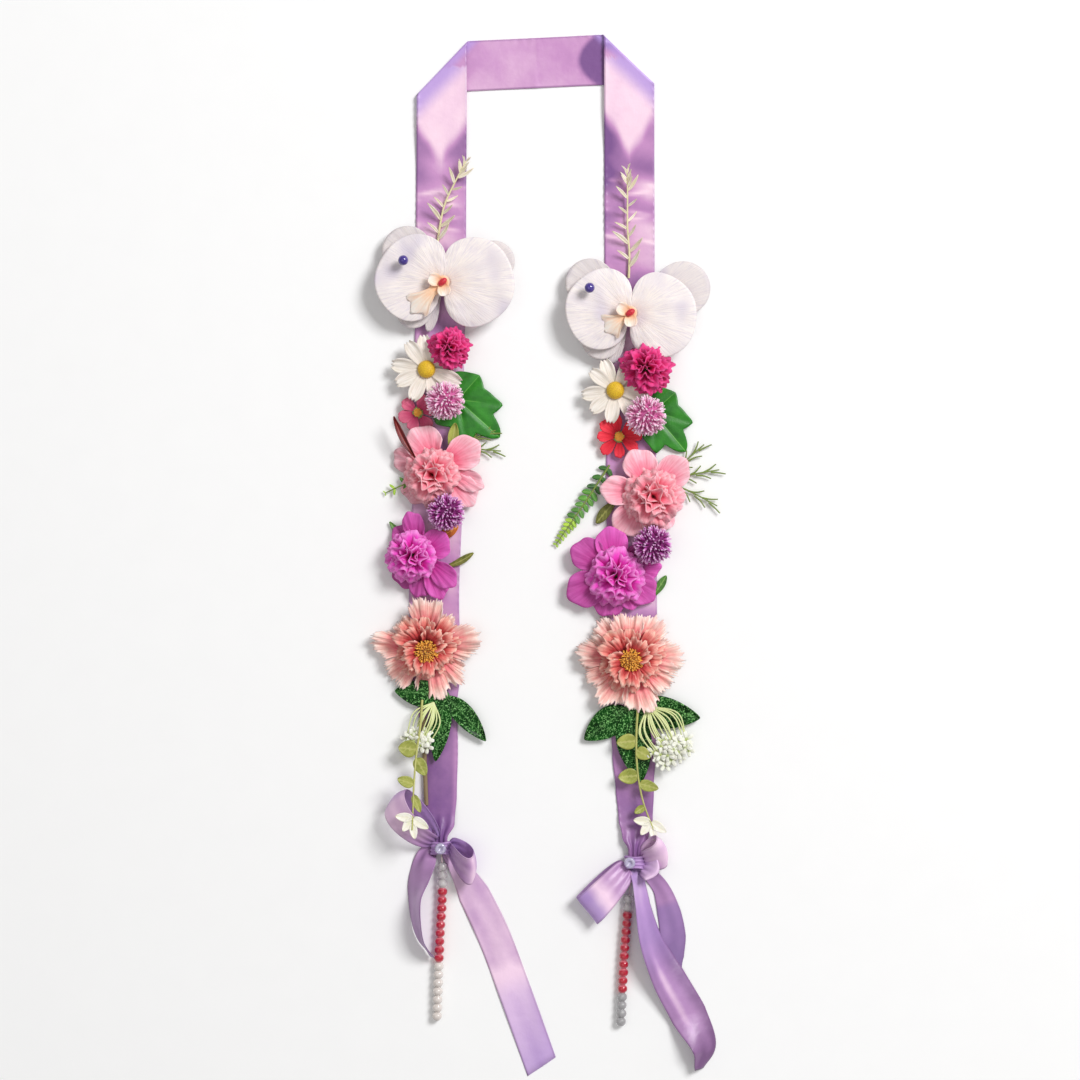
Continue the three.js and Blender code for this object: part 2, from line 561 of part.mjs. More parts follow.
// A frond: one thin arched blade cut to the rib into leaflets that point forward.
function fern(name, { from, to, leaflets }) {
  const [dx, dy] = [to[0] - from[0], to[1] - from[1]];
  const rows = 2 * leaflets + 1;
  const frond = (grow) => [set(blade({
    length: Math.hypot(dx, dy), rows, cols: 3, grow,
    half: (u) => (Math.round(u * rows) % 2 ? 8.4 * (1 - 0.72 * u) : 0.9),
    sweep: (u, v) => (Math.round(u * rows) % 2 ? 4.5 * Math.abs(v) * (1 - 0.6 * u) : 0),
    rise: (u) => 2.4 * Math.sin(Math.PI * u),
  }), { heading: THREE.MathUtils.radToDeg(Math.atan2(dy, dx)), height: 2 }).translate(from[0], from[1], 0),
  foot(from, 1.8, 2.2, grow)];
  settle(name, frond(0), FRESH_GREEN, frond(AIR));
}

// A stem with narrow leaves in pairs up to a leafy tip.
function sprig(name, path) {
  const curve = new THREE.CatmullRomCurve3(path.map((p) => vector(...p)));
  const shapes = (grow) => [
    rod(path, 1 + grow, 0.6 + grow, 3, 4), foot(path[0], 1.8, path[0][2] + 0.4, grow),
    ...Array.from({ length: 11 }, (_, i) => {
      const u = i < 8 ? 0.1 + i * 0.09 : 0.82 + 0.07 * (i - 8);
      const [p, t] = [curve.getPoint(u), curve.getTangent(u)];
      const heading = THREE.MathUtils.radToDeg(Math.atan2(t.y, t.x)) + (i % 2 ? -1 : 1) * (i < 8 ? 46 : 22);
      return set(blade({
        length: i < 8 ? 12 - 0.4 * i : 9, rows: 1, grow, half: (w) => (w ? 0.35 : 1),
      }), { heading, climb: 8 + 6 * wave(i, 1) }).translate(p.x, p.y, p.z);
    }),
  ];
  settle(name, shapes(0), PALE_STEM, shapes(AIR));
}

// A trailing stem with rounded leaves and a tip of small buds.
function vine(name, { path, leaves }) {
  const curve = new THREE.CatmullRomCurve3(path.map((p) => vector(...p)));
  const buds = [-58, -104, -150].map((heading) => [0.96, heading, 8, 2.2]);
  const shapes = (grow) => [
    rod(path, 1.2 + grow, 0.7 + grow, 3, 7), foot(path[0], 2, path[0][2] + 0.3, grow),
    ...[...leaves, ...buds].map(([u, heading, length, half], i) => {
      const p = curve.getPoint(u);
      return set(blade({
        length, rows: 2, grow, half: (w) => half * [0.2, 1, 0.5][Math.round(w * 2)],
      }), { heading, climb: 6 * wave(i, 3) }).translate(p.x, p.y, p.z);
    }),
  ];
  settle(name, shapes(0), FRESH_GREEN, shapes(AIR));
}

// Thin rays from one stalk, and the cluster of small flowers at their ends.
function umbel(name, { at, centre, spread }) {
  const [dx, dy] = [centre[0] - at[0], centre[1] - at[1]];
  const far = Math.hypot(dx, dy);
  const side = [-dy / far, dx / far];
  const heads = Array.from({ length: 7 }, (_, i) => {
    const [off, lag] = [(spread * (i - 3)) / 3.6, 3 * wave(i, 2)];
    return [centre[0] + side[0] * off + (dx / far) * lag, centre[1] + side[1] * off + (dy / far) * lag, 8];
  });
  const cluster = (grow) => floretBall(spread + 2 * grow, 0.42, 0.26, 16, 6).scale(0.62, 1, 1)
    .rotateZ(Math.atan2(dy, dx)).translate(centre[0], centre[1], 8);
  settle(`${name}_florets`, [cluster(0)], WHITE_SILK, [cluster(AIR)]);
  const rays = (grow) => [foot(at, 2, 4.6, grow), ...heads.map(([x, y, z], i) => {
    const off = (spread * (i - 3)) / 4;
    const bend = [at[0] + dx * 0.45 + side[0] * off, at[1] + dy * 0.45 + side[1] * off, 9];
    return rod([[at[0], at[1], 4], bend, [x, y, z]], 0.65 + grow, 0.55 + grow, 3, 2);
  })];
  settle(`${name}_rays`, rays(0), FRESH_GREEN, rays(AIR));
}

// ---------- ribbons ----------
const KNOT_Z = 5.2; // height of the bow's knot, which the gathered band runs through
const GATHER_W = 9.6;
const GATHER_T = 3;
const KNOT_LONG = 9;
const perp = (d) => new THREE.Vector2(-d.y, d.x);
const CORNERS = [LEFT, RIGHT].map((s) => new THREE.Vector2(...s.corner));
const NECK = CORNERS[1].clone().sub(CORNERS[0]);
const NECK_LONG = NECK.length();
const AXES = [new THREE.Vector2(0, 1), NECK.clone().normalize(), new THREE.Vector2(0, -1)];
const LOW = RIBBON_T / 2;
const HIGH = LOW + 2 * FOLD_R;

// A point of the flat band, s along it from a corner and t across, after the fold at that corner.
function foldedPoint(c, s, t) {
  const [into, out] = [AXES[c], AXES[c + 1]];
  const normal = into.clone().sub(out).normalize();
  const crease = into.clone().add(out).normalize();
  const flat = into.clone().multiplyScalar(s).addScaledVector(perp(into), t);
  const [u, v] = [flat.dot(normal), flat.dot(crease)];
  const reach = (Math.PI * FOLD_R) / 2;
  const turn = THREE.MathUtils.clamp((u + reach) / FOLD_R, 0, Math.PI);
  const h = Math.abs(u) < reach ? -reach + FOLD_R * Math.sin(turn) : -Math.abs(u);
  const [z0, z1] = c === 0 ? [HIGH, LOW] : [LOW, HIGH];
  const p = CORNERS[c].clone().addScaledVector(crease, v).addScaledVector(normal, h);
  return vector(p.x, p.y, (z0 + z1) / 2 + ((z0 - z1) / 2) * Math.cos(turn));
}

// The same point with the strand's drift, its way down to the surface and its gather at the knot.
function bandPoint(strand, s, t) {
  const c = strand === LEFT ? 0 : 1;
  const down = c === 0 ? -s : s;
  const knotDown = strand.corner[1] - strand.knot[1];
  const p = foldedPoint(c, s, (t * along(strand.gather, knotDown - down)) / BAND_W);
  p.x += along(strand.drift, down);
  p.z -= (HIGH - LOW) * THREE.MathUtils.smoothstep(down, 32, 80);
  p.z += (KNOT_Z - LOW) * THREE.MathUtils.smoothstep(down, knotDown - 45, knotDown - 4);
  return p;
}

// One cross-section of the band; slant is how far it leans along the band for each mm across.
function bandRing(strand, s, slant) {
  const c = strand === LEFT ? 0 : 1;
  const down = c === 0 ? -s : s;
  const knotDown = strand.corner[1] - strand.knot[1];
  const thick = along([[knotDown - 26, RIBBON_T], [knotDown - 4, GATHER_T]], down);
  const step = 0.02;
  const edge = (t) => {
    const at = bandPoint(strand, s + slant * t, t);
    const ds = bandPoint(strand, s + slant * t + step, t).sub(at);
    const dt = bandPoint(strand, s + slant * t, t + step).sub(at);
    return [at, ds.cross(dt).normalize().multiplyScalar((c === 0 ? 1 : -1) * thick / 2)];
  };
  const ends = [BAND_W / 2, -BAND_W / 2].map((t) => edge(c === 0 ? t : -t));
  return [...ends.map(([p, n]) => p.clone().add(n)), ...ends.reverse().map(([p, n]) => p.clone().sub(n))];
}

function band() {
  const strandRings = (strand, sign) => {
    const end = strand.corner[1] - strand.knot[1] + KNOT_LONG / 2;
    const downs = [0, 9, 15, 21, 34, 46, 84, 124].map((up) => end - up);
    return [...downs, 400, 330, 230, 130, 82, 66, 52].map((down) => bandRing(strand, sign * down, 0));
  };
  const foldRings = (strand, c) => {
    const [into, out] = [AXES[c], AXES[c + 1]];
    const normal = into.clone().sub(out).normalize();
    const lean = -perp(into).dot(normal) / into.dot(normal);
    const reach = (Math.PI * FOLD_R) / 2;
    const turns = [-1.6, -1, -0.67, -0.33, 0, 0.33, 0.67, 1, 1.6];
    return turns.map((k) => bandRing(strand, (k * reach) / into.dot(normal), lean));
  };
  return loft([
    ...strandRings(LEFT, -1), ...foldRings(LEFT, 0), bandRing(LEFT, NECK_LONG / 2, 0),
    ...foldRings(RIGHT, 1), ...strandRings(RIGHT, 1).reverse(),
  ]);
}

// A ribbon through stations { at, across, width }, where across is the way its width runs.
function strip(stations) {
  return loft(stations.map(({ at, across, width }, i) => {
    const next = stations[Math.min(i + 1, stations.length - 1)].at;
    const heading = next.clone().sub(stations[Math.max(i - 1, 0)].at);
    const normal = heading.cross(across).normalize().multiplyScalar(RIBBON_T / 2);
    const [a, b] = [1, -1].map((k) => at.clone().addScaledVector(across, (k * width) / 2));
    return [a.clone().add(normal), b.clone().add(normal), b.clone().sub(normal), a.clone().sub(normal)];
  }));
}

// Lifts a station whose lower edge would sink into the surface that the lei lies on.
function onSurface({ at, across, width }) {
  at.z = Math.max(at.z, (Math.abs(across.z) * width + RIBBON_T) / 2);
  return { at, across, width };
}

// A loop of ribbon from the knot out to its tip and back.
function bowLoop(knot, { tip, heading, height, roll, climb }) {
  const out = vector(Math.cos(radians(heading)), Math.sin(radians(heading)), 0);
  const bulge = UP.clone().applyAxisAngle(out, -radians(roll));
  const across = vector().crossVectors(out, bulge);
  const root = vector(knot[0], knot[1], KNOT_Z).addScaledVector(out, 7.2);
  const reach = vector(tip[0], tip[1], KNOT_Z + climb).sub(root);
  const steps = 10;
  return strip(Array.from({ length: steps + 1 }, (_, i) => {
    const a = (2 * Math.PI * i) / steps;
    const full = height * (a < Math.PI ? 0.7 : 0.3) * Math.sin(a) * Math.sin(a / 2) ** 0.5;
    const at = root.clone().addScaledVector(reach, (1 - Math.cos(a)) / 2)
      .addScaledVector(bulge, full + 1.3 * Math.cos(a / 2));
    return onSurface({ at, across, width: 6.4 + (BOW_W - 6.4) * Math.sin(a / 2) ** 0.7 });
  }));
}

function bowTail(points, cut) {
  const path = new THREE.CatmullRomCurve3(points.map(([x, y, z]) => vector(x, y, z)));
  const steps = Math.round(points.length * 1.5);
  return strip(Array.from({ length: steps + 1 }, (_, i) => {
    const u = i / steps;
    const k = Math.min(points.length - 2, Math.floor(u * (points.length - 1)));
    const w = u * (points.length - 1) - k;
    const [roll, width] = [3, 4].map((n) => points[k][n] * (1 - w) + points[k + 1][n] * w);
    const heading = path.getTangent(u);
    const flat = vector(-heading.y, heading.x, 0).normalize();
    const across = flat.applyAxisAngle(heading, radians(roll));
    if (i === steps) across.addScaledVector(heading, cut).setLength(Math.hypot(1, cut));
    return onSurface({ at: path.getPoint(u), across, width });
  }));
}

function bow(name, strand) {
  const { knot, bow: { loops, tails } } = strand;
  const ring = new THREE.Shape().absellipse(0, 0, 8.2, 5.1, 0, 2 * Math.PI);
  ring.holes.push(new THREE.Path().absellipse(0, 0, 6.6, 2.8, 0, 2 * Math.PI, true));
  const wrap = new THREE.ExtrudeGeometry(ring, { depth: KNOT_LONG, bevelEnabled: false, curveSegments: 6 })
    .rotateX(Math.PI / 2).translate(knot[0], knot[1] + KNOT_LONG / 2, KNOT_Z);
  const ends = tails.map((t, i) => bowTail(t, i ? 0 : -0.26));
  settle(name, [wrap, ...loops.map((l) => bowLoop(knot, l)), ...ends], SATIN);
}

// A silver ring bead that sits on the knot.
function knotBead(name, { knot }) {
  const seat = KNOT_Z + 5.1 + AIR;
  const bead = turned([[0, 0], [3.4, 0], [4.4, 1.6], [3.6, 3.4], [0, 4]], 9);
  settle(name, [bead.translate(knot[0], knot[1], seat)], CLEAR_BEAD);
}

// Beads that touch on one thread, in three colours. Where thread is given, it shows bare above them.
function beadString(side, { path, clear, red, thread }) {
  const curve = new THREE.CatmullRomCurve3(path.map((p) => vector(...p)));
  const count = Math.round(curve.getLength() / BEAD_PITCH);
  const run = (name, from, to, material) => {
    const rings = [];
    for (let n = from; n < to; n++) {
      [[0.03, 0.55], [0.3, 0.98], [0.7, 0.98], [0.97, 0.55]].forEach(([part, size], k) => {
        if (k === 0 && n > from) return;
        const u = THREE.MathUtils.clamp((n + part) / count, 0, 1);
        const [at, heading] = [curve.getPointAt(u), curve.getTangentAt(u)];
        const across = vector().crossVectors(heading, UP).normalize();
        const over = vector().crossVectors(across, heading);
        rings.push(Array.from({ length: 6 }, (_, j) => {
          const a = (2 * Math.PI * j) / 6;
          const r = BEAD_R * size;
          return at.clone().addScaledVector(across, r * Math.cos(a)).addScaledVector(over, r * Math.sin(a));
        }));
      });
    }
    settle(name, from === 0 && thread ? [loft(rings), rod(thread, 0.6)] : [loft(rings)], material);
  };
  run(`clear_beads_${side}`, 0, clear, CLEAR_BEAD);
  run(`red_beads_${side}`, clear, clear + red, RED_BEAD);
  run(`pearl_beads_${side}`, clear + red, count, PEARL);
}

// ---------- the two strands: what lies on top is placed first ----------
for (const strand of [LEFT, RIGHT]) {
  const { side } = strand;
  pompom(`pale_pompom_${side}`, strand.palePompom, LILAC);
  smallCarnation(`small_carnation_${side}`, strand.smallCarnation);
  pompom(`purple_pompom_${side}`, strand.purplePompom, PURPLE);
  orchid(`orchid_${side}`, strand.orchid);
  rayFlower(`daisy_${side}`, strand.daisy, WHITE_SILK, {
    count: 10, climb: 8, eyeMaterial: YELLOW_EYE, outline: [[0, 0.38], [0.1, 0.84], [0.5, 1.02], [0.9, 0.84]],
  });
  rayFlower(`cosmos_${side}`, strand.cosmos, side === "left" ? finish("#d9536f", 0.7) : RED_COAT,
    { count: 8, climb: 6, eyeMaterial: AMBER, outline: [[0, 0.36], [0.12, 0.92], [0.88, 0.98]] });
  ringedCarnation(`pink_carnation_${side}`, strand.pinkCarnation, PINK, 6);
  peachBloom(`peach_bloom_${side}`, strand.peach);
  ringedCarnation(`violet_carnation_${side}`, strand.violet, VIOLET, 5);
  sprig(`sprig_${side}`, strand.sprig);
  umbel(`umbel_${side}`, strand.umbel);
  vine(`vine_${side}`, strand.vine);
  mottledLeaves(`mottled_leaves_${side}`, strand.leaves);
  ivyLeaf(`ivy_leaf_${side}`, strand.ivy);
  smallLeaves(`small_leaves_${side}`, strand.smallLeaves);
  spray(`fine_spray_${side}`, strand.spray);
  fern(`fern_${side}`, strand.fern);
  bow(`bow_${side}`, strand);
  knotBead(`knot_bead_${side}`, strand);
  beadString(side, strand.beads);
}
place("ribbon_band", solid(band()), SATIN);

// The origin is the middle of the lei's outline, on the surface that it lies on.
const box = new THREE.Box3().setFromObject(lei);
const middle = box.getCenter(vector());
lei.position.set(-middle.x, -middle.y, -box.min.z);

export default lei;
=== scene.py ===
# %% [markdown]
# # A ribbon flower lei, dressed in Blender
# The lei lies on its back on a table. One long lilac satin ribbon is folded flat at the neck, a row of
# made flowers and leaves is glued down each strand, and each end is gathered into a bow that holds a
# string of beads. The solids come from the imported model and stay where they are: each step below makes
# the piece that is seen in place of one of them. Everything is built in millimetres, then carried into
# the model's frame, which is in metres.

# %% Start from the fixed frame
import json
import math
import bpy
import numpy as np
from mathutils import Matrix, Vector

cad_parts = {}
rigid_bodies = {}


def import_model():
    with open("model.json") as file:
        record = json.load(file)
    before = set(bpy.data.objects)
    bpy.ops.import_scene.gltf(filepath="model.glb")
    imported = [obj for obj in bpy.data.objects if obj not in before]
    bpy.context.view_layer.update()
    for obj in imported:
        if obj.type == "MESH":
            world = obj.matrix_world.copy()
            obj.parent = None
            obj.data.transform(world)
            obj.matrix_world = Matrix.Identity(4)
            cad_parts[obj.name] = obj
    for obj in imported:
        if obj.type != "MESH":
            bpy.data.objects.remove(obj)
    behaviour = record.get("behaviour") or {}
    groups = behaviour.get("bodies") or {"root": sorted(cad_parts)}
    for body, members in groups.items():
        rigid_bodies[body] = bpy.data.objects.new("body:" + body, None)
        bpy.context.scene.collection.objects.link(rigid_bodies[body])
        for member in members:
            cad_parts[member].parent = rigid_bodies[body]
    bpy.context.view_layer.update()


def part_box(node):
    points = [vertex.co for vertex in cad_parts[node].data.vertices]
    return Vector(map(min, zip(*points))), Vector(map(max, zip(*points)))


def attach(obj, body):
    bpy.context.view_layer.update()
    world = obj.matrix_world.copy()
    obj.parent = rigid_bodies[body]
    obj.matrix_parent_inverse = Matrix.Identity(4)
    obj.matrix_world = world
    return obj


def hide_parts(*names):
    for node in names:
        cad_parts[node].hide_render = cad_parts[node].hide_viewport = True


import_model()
scene = bpy.context.scene
MM = 0.001
PEARL_SPOT = (-106.4, 225)  # the left orchid's pearl pin, in the layout's millimetres
pin = [sum(ends) / 2 / MM for ends in zip(*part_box("orchid_left_pearl_pin"))]
SHIFT = Vector((pin[0] - PEARL_SPOT[0], pin[1] - PEARL_SPOT[1], 0))  # from the layout's origin to the frame's
TO_FRAME = Matrix.Scale(MM, 4) @ Matrix.Translation(SHIFT)
print("the layout is shifted by", [round(v, 3) for v in SHIFT], "mm")

# %% [markdown]
# ## The camera, the light and the table
# The photograph was taken from straight above, so the camera looks straight down. A long lens nearly two
# metres up keeps the blooms from leaning outwards at the edges. The sun came from the upper right; a
# studio would put a large soft light there and let white walls fill the shadows, which is what the area
# light and the plain white world do here.

# %% Camera, light and table
LENS, SENSOR = 85, 36  # in millimetres
VIEW_WIDE = 0.8208  # what the photograph takes in from side to side, in metres
VIEW_MIDDLE = Vector((-3.8, 15.2, 0))  # the middle of the photograph, in the layout
view = bpy.data.objects.new("camera", bpy.data.cameras.new("camera"))
view.data.lens, view.data.sensor_width = LENS, SENSOR
view.location = TO_FRAME @ VIEW_MIDDLE + Vector((0, 0, VIEW_WIDE * LENS / SENSOR))
scene.collection.objects.link(view)
scene.camera = view

for name, place, size, power in [
    ("window_light", (2.2, 1.9, 3.1), 1.5, 148), ("ceiling_light", (-1.2, -0.6, 3.6), 3.0, 17),
]:
    lamp = bpy.data.objects.new(name, bpy.data.lights.new(name, "AREA"))
    lamp.data.size, lamp.data.energy = size, power
    lamp.location = place
    lamp.rotation_euler = (-Vector(place)).to_track_quat("-Z", "Y").to_euler()
    scene.collection.objects.link(lamp)

scene.world = bpy.data.worlds.new("white_room")
scene.world.use_nodes = True
room = scene.world.node_tree.nodes["Background"]
room.inputs["Color"].default_value = (1, 0.99, 0.98, 1)
room.inputs["Strength"].default_value = 0.38
scene.view_settings.view_transform = "Standard"
print("camera height", round(view.location.z, 3), "m")

# %% [markdown]
# ## Colours and nodes
# Colours are written as they are read off a screen, in sRGB, while a shader works in linear light, so one
# function turns each. A second small function adds any node to any tree: it takes the node's settings,
# and what goes into its sockets, either a value or another node.

# %% One function for colours, one for nodes
MATH, NOISE, RANGE = "ShaderNodeMath", "ShaderNodeTexNoise", "ShaderNodeMapRange"  # the kinds used most


def colour(code):
    """An sRGB colour such as #c08fd0 as linear red, green, blue and alpha."""
    parts = [int(code[n:n + 2], 16) / 255 for n in (1, 3, 5)]
    return [c / 12.92 if c <= 0.04045 else ((c + 0.055) / 1.055) ** 2.4 for c in parts] + [1]


def add(tree, kind, links=(), stops=None, **settings):
    """Adds a node. links are the values, sockets or nodes for its inputs, in a row or by name or number,
    and stops the colours of a ramp by their places."""
    node = tree.nodes.new(kind)
    for name, value in settings.items():
        setattr(node, name, value)
    for key, value in links.items() if isinstance(links, dict) else enumerate(links):
        socket = node.inputs[key] if isinstance(key, int) else next(
            s for s in node.inputs if s.name == key and s.enabled)
        if isinstance(value, bpy.types.Node):
            value = next(s for s in value.outputs if s.enabled)
        if isinstance(value, bpy.types.NodeSocket):
            tree.links.new(value, socket)
        else:
            socket.default_value = value
    if stops:
        row, places = node.color_ramp.elements, list(stops)
        row[0].position, row[-1].position = places[0], places[-1]
        for place in places[1:-1]:
            row.new(place)
        for spot, code in zip(row, stops.values()):
            spot.color = colour(code)
    return node


print("lilac in linear light:", [round(c, 3) for c in colour("#c08fd0")])

# %% [markdown]
# ## How every finish starts and ends
# A finish starts from Blender's main shader, with even values on its own sockets, and ends with a dye and a
# relief. Petals and leaves are dyed in batches that differ, so each copy's tone makes its dye lighter or
# darker; the tones given to single petals in the lists are painted light and painted shade.

# %% Starting and ending a finish
def finish(name, **values):
    """A new material, its tree and its shader, whose even values are set on the shader's own sockets."""
    material = bpy.data.materials.new(name)
    material.use_nodes = True
    shader = material.node_tree.nodes["Principled BSDF"]
    for label, value in values.items():
        shader.inputs[label.replace("_", " ")].default_value = value
    return material, material.node_tree, shader


def surfaced(base, dye, relief, strength, depth):
    """Ends a finish: its dye, and its relief as a bump that is up to depth metres deep."""
    material, tree, shader = base
    bump = add(tree, "ShaderNodeBump", {"Strength": strength, "Distance": depth, "Height": relief})
    tree.links.new(dye, shader.inputs["Base Color"])
    tree.links.new(bump.outputs[0], shader.inputs["Normal"])
    return material


def toned(tree, dye, spread):
    """The dye, lighter or darker by each copy's own tone, which differs by up to spread."""
    tone = add(tree, RANGE, {
        "Value": add(tree, "ShaderNodeAttribute", attribute_name="tone").outputs["Fac"], "From Min": -1.0,
        "To Min": 1 - spread, "To Max": 1 + spread})
    return add(tree, "ShaderNodeHueSaturation", {"Value": tone, "Color": dye}).outputs[0]


print("every finish ends with", surfaced.__name__, "and may be", toned.__name__, "copy by copy")

# %% [markdown]
# ## The table's finish
# A matt white board. It takes the soft shadows and nothing else, so the flowers have the eye to themselves.

# %% White table
TABLE_HALF = 8  # in metres, far past the edge of the picture
board, tree, shader = finish("matt_white_board", Roughness=0.9)
grain = add(tree, NOISE, {
    "Vector": add(tree, "ShaderNodeTexCoord").outputs["Object"], "Scale": 40.0, "Detail": 2.0})
white = add(tree, "ShaderNodeValToRGB", {"Fac": grain}, stops={0.3: "#f8f8f8", 0.7: "#f9f9f9"})
tree.links.new(white.outputs["Color"], shader.inputs["Base Color"])
floor = bpy.data.objects.new("table", bpy.data.meshes.new("table"))
floor.data.from_pydata([(x * TABLE_HALF, y * TABLE_HALF, 0) for x, y in [(-1, -1), (1, -1), (1, 1), (-1, 1)]],
                       [], [(0, 1, 2, 3)])
floor.data.materials.append(board)
scene.collection.objects.link(floor)
print("the table is", 2 * TABLE_HALF, "m wide")

# %% [markdown]
# ## Where everything lies
# The places are the source's, in millimetres, x across the strands and y towards the neck, with petals,
# leaves, loops and tails fitted more closely to the photograph. The two strands were made alike but not
# the same, so each has its own list. Headings are in degrees from x. `gather` says how wide the ribbon is
# at a distance from the knot, `shine` how much painted light and painted shade it takes at a distance from
# the neck, and `drift` how far it swings aside. A petal's or a leaf's row holds its heading and length, then
# what it needs of half width, climb or bend, and tone from -1 to 1, which paints the petal lighter or darker
# as the light falls on it. A loop's row is its tip, heading, height, roll, climb, rounding and width, a
# tail's is x, y, z, roll and width, and `glow` holds, for each loop and then each tail, rows of share of its
# length, painted light, painted cool reflection and painted streak of highlight.

# %% The left strand
LEFT = dict(
    side="left", corner=(-78.3, 374.2), knot=(-79, -218),
    gather=[(0, 9.6), (7, 10), (18, 21), (40, 24.5), (100, 29), (140, 38)],
    drift=[(0, 0), (130, -0.7), (330, -3.7), (405, -6), (470, -4), (535, -1), (590, -0.7)],
    # painted light and shade down the strand
    shine=[(88, -0.15), (120, 0.0), (170, -0.35), (190, -0.1), (214, 0.5), (250, 0.0), (330, 0.3),
           (400, 0.2), (450, 0.1), (500, -0.75), (560, -0.95)],
    sprig=[(-82, 236, 2.6), (-80, 252, 3), (-76, 270, 4), (-68, 287, 5), (-60, 302, 6)],
    orchid=dict(
        at=(-77, 209), lift=15, lip=222, tongue=31, pearl=PEARL_SPOT,
        petals=[(168, 51, 3), (2, 53, 4)],
        sepals=[(138, 54, 22), (222, 42, 15), (24, 56, 18), (252, 36, 4)]),
    small_carnation=dict(at=(-72.2, 159.6), lift=11, radius=14, tilt=8, lean=120),
    daisy=dict(at=(-89.7, 144.4), lift=7, radius=25, eye=6.8, turn=10),
    pale_pompom=dict(at=(-75.2, 120), lift=17.5, radius=14.2),
    cosmos=dict(at=(-96.5, 111.7), lift=5, radius=14.5, eye=2.6, turn=14),
    ivy=dict(at=(-72, 127), heading=-42, length=50),
    pink_carnation=dict(
        at=(-82, 70.7), lift=7, head=20, tilt=4, lean=200, heart=(-3, -6),
        skirt=[(117, 33, 15.5, 9, 0.6), (26, 36, 13.5, 10, 0.6), (337, 37, 7.5, 4, -0.3),
               (318, 39, 11, 3, 0.8), (167, 34, 9.5, 3, -0.8), (226, 34, 11, 3, -0.5),
               (262, 34, 6, 2, -0.9)]),
    spray=dict(at=(-70, 84), headings=(24, -2, 205), length=40),
    fern=dict(foot=(-97, 60), tip=(-121, 51), leaflets=8, long=8, half=1.6),
    small_leaves=[((-84, -14), (-118, 29), 3.4, 0.0, "green"), ((-90, 13), (-66, 25.5), 4.2, 0.1, "rust"),
                  ((-80, -6), (-55, 5), 2.8, 0.25, "olive")],
    purple_pompom=dict(at=(-74.5, 36), lift=16.5, radius=13.6),
    violet=dict(
        at=(-94, 3), lift=9.5, head=17.5, tilt=8, lean=180, heart=(-6, 0),
        skirt=[(101, 34, 7.5, 12, 0.0), (35, 25, 14, 12, 0.6), (321, 33, 8.5, 5, 0.1),
               (300, 35, 8, 3, 0.5), (269, 31, 8, 3, -0.6), (230, 28, 11, 3, -0.7),
               (129, 29, 9, 4, -0.5)]),
    peach=dict(
        at=(-89.7, -66), lift=6.5, radius=39, eye=9.8, tilt=4, lean=250, heart=(0, -3),
        skirt=[(90, 43, 15, 12, -0.2), (8, 44, 17, 9, -0.3), (176, 45, 12, 7, 0.3),
               (222, 41, 14, 6, 0.0), (279, 43, 17, 5, 0.5), (318, 40, 12, 6, 0.0),
               (138, 33, 10, 5, -0.6), (48, 33, 9, 5, -0.4)]),
    leaves=dict(
        at=(-76, -103),
        blades=[(174, 37, 9.5, 0.0), (318, 45, 7.4, -0.1), (262, 49, 7.2, 0.0)]),
    umbel=dict(at=(-84.5, -108), centre=(-96, -136), spread=10.5, rays=12),
    vine=dict(
        path=[(-93, -106, 7), (-94, -124, 12), (-97, -146, 15), (-98.5, -170, 24), (-99.5, -202, 29)],
        leaves=[(0.48, 172, 14, 6.6), (0.55, 300, 15, 5), (0.72, 160, 13, 4.4), (0.8, 292, 14, 3.2)]),
    loops=[((-114, -178), 134, 21, 30, 10, 3, 25), ((-52, -231), -3, 20, -28, 9.5, 2, 25)],
    tails=[
        [(-75, -221, 1.6, 0, 9), (-66, -233, 1, 0, 15), (-54, -254, 0.5, 0, 24), (-40, -283, 0.5, 0, 25),
         (-24, -325, 0.5, 0, 25), (-2.5, -385, 0.5, 0, 25)],
        [(-83, -221, 1.6, 0, 9), (-88, -222, 4, 20, 14), (-92, -230, 8, 42, 23), (-95.7, -242, 10, 52, 25),
         (-98.4, -255, 11.5, 64, 25), (-98.1, -271, 12, 70, 25), (-94.1, -287, 10, 74, 19),
         (-88.6, -296.5, 7, 74, 12), (-85.6, -301, 4, 70, 6)]],
    # painted light, cool reflection and streak of highlight for each loop and tail
    glow=[
        [(0, -0.3, 0.3, 0), (0.12, 0.1, 0, 0), (0.3, 0.5, 0, 0), (0.42, 0.8, 0, 0), (0.52, 0, 0.3, 0),
         (1, -0.5, 0.5, 0)],
        [(0, 0.3, 0.3, 0), (0.35, 0.3, 0, 0), (0.42, 1.1, 0, 0), (0.47, 0.6, 0.1, 0), (0.55, 0, 0.4, 0),
         (1, -0.3, 0.5, 0)],
        [(0, 0.4, 0, 0), (0.6, 0.5, 0, 0), (0.7, 0.4, 0, 0.2), (0.76, 1.1, 0, 0), (0.82, 0.7, 0.35, 0),
         (1, 0.45, 0.6, 0)],
        [(0, -0.5, 0, 0), (0.2, 0, 0, -0.6), (0.3, -0.2, 0, 0), (1, -0.4, 0.2, 0)]],
    beads=[(-78, -229.4, 5), (-77.8, -250, 4.4), (-80, -290, 4.1), (-82, -349, 4)],
    clear=3, red=9, smoky=0, thread=[(-78.6, -222, 4), (-78, -230, 5)], ring_aside=0,
)
print("left bow:", len(LEFT["loops"]), "loops and", len(LEFT["tails"]), "tails")

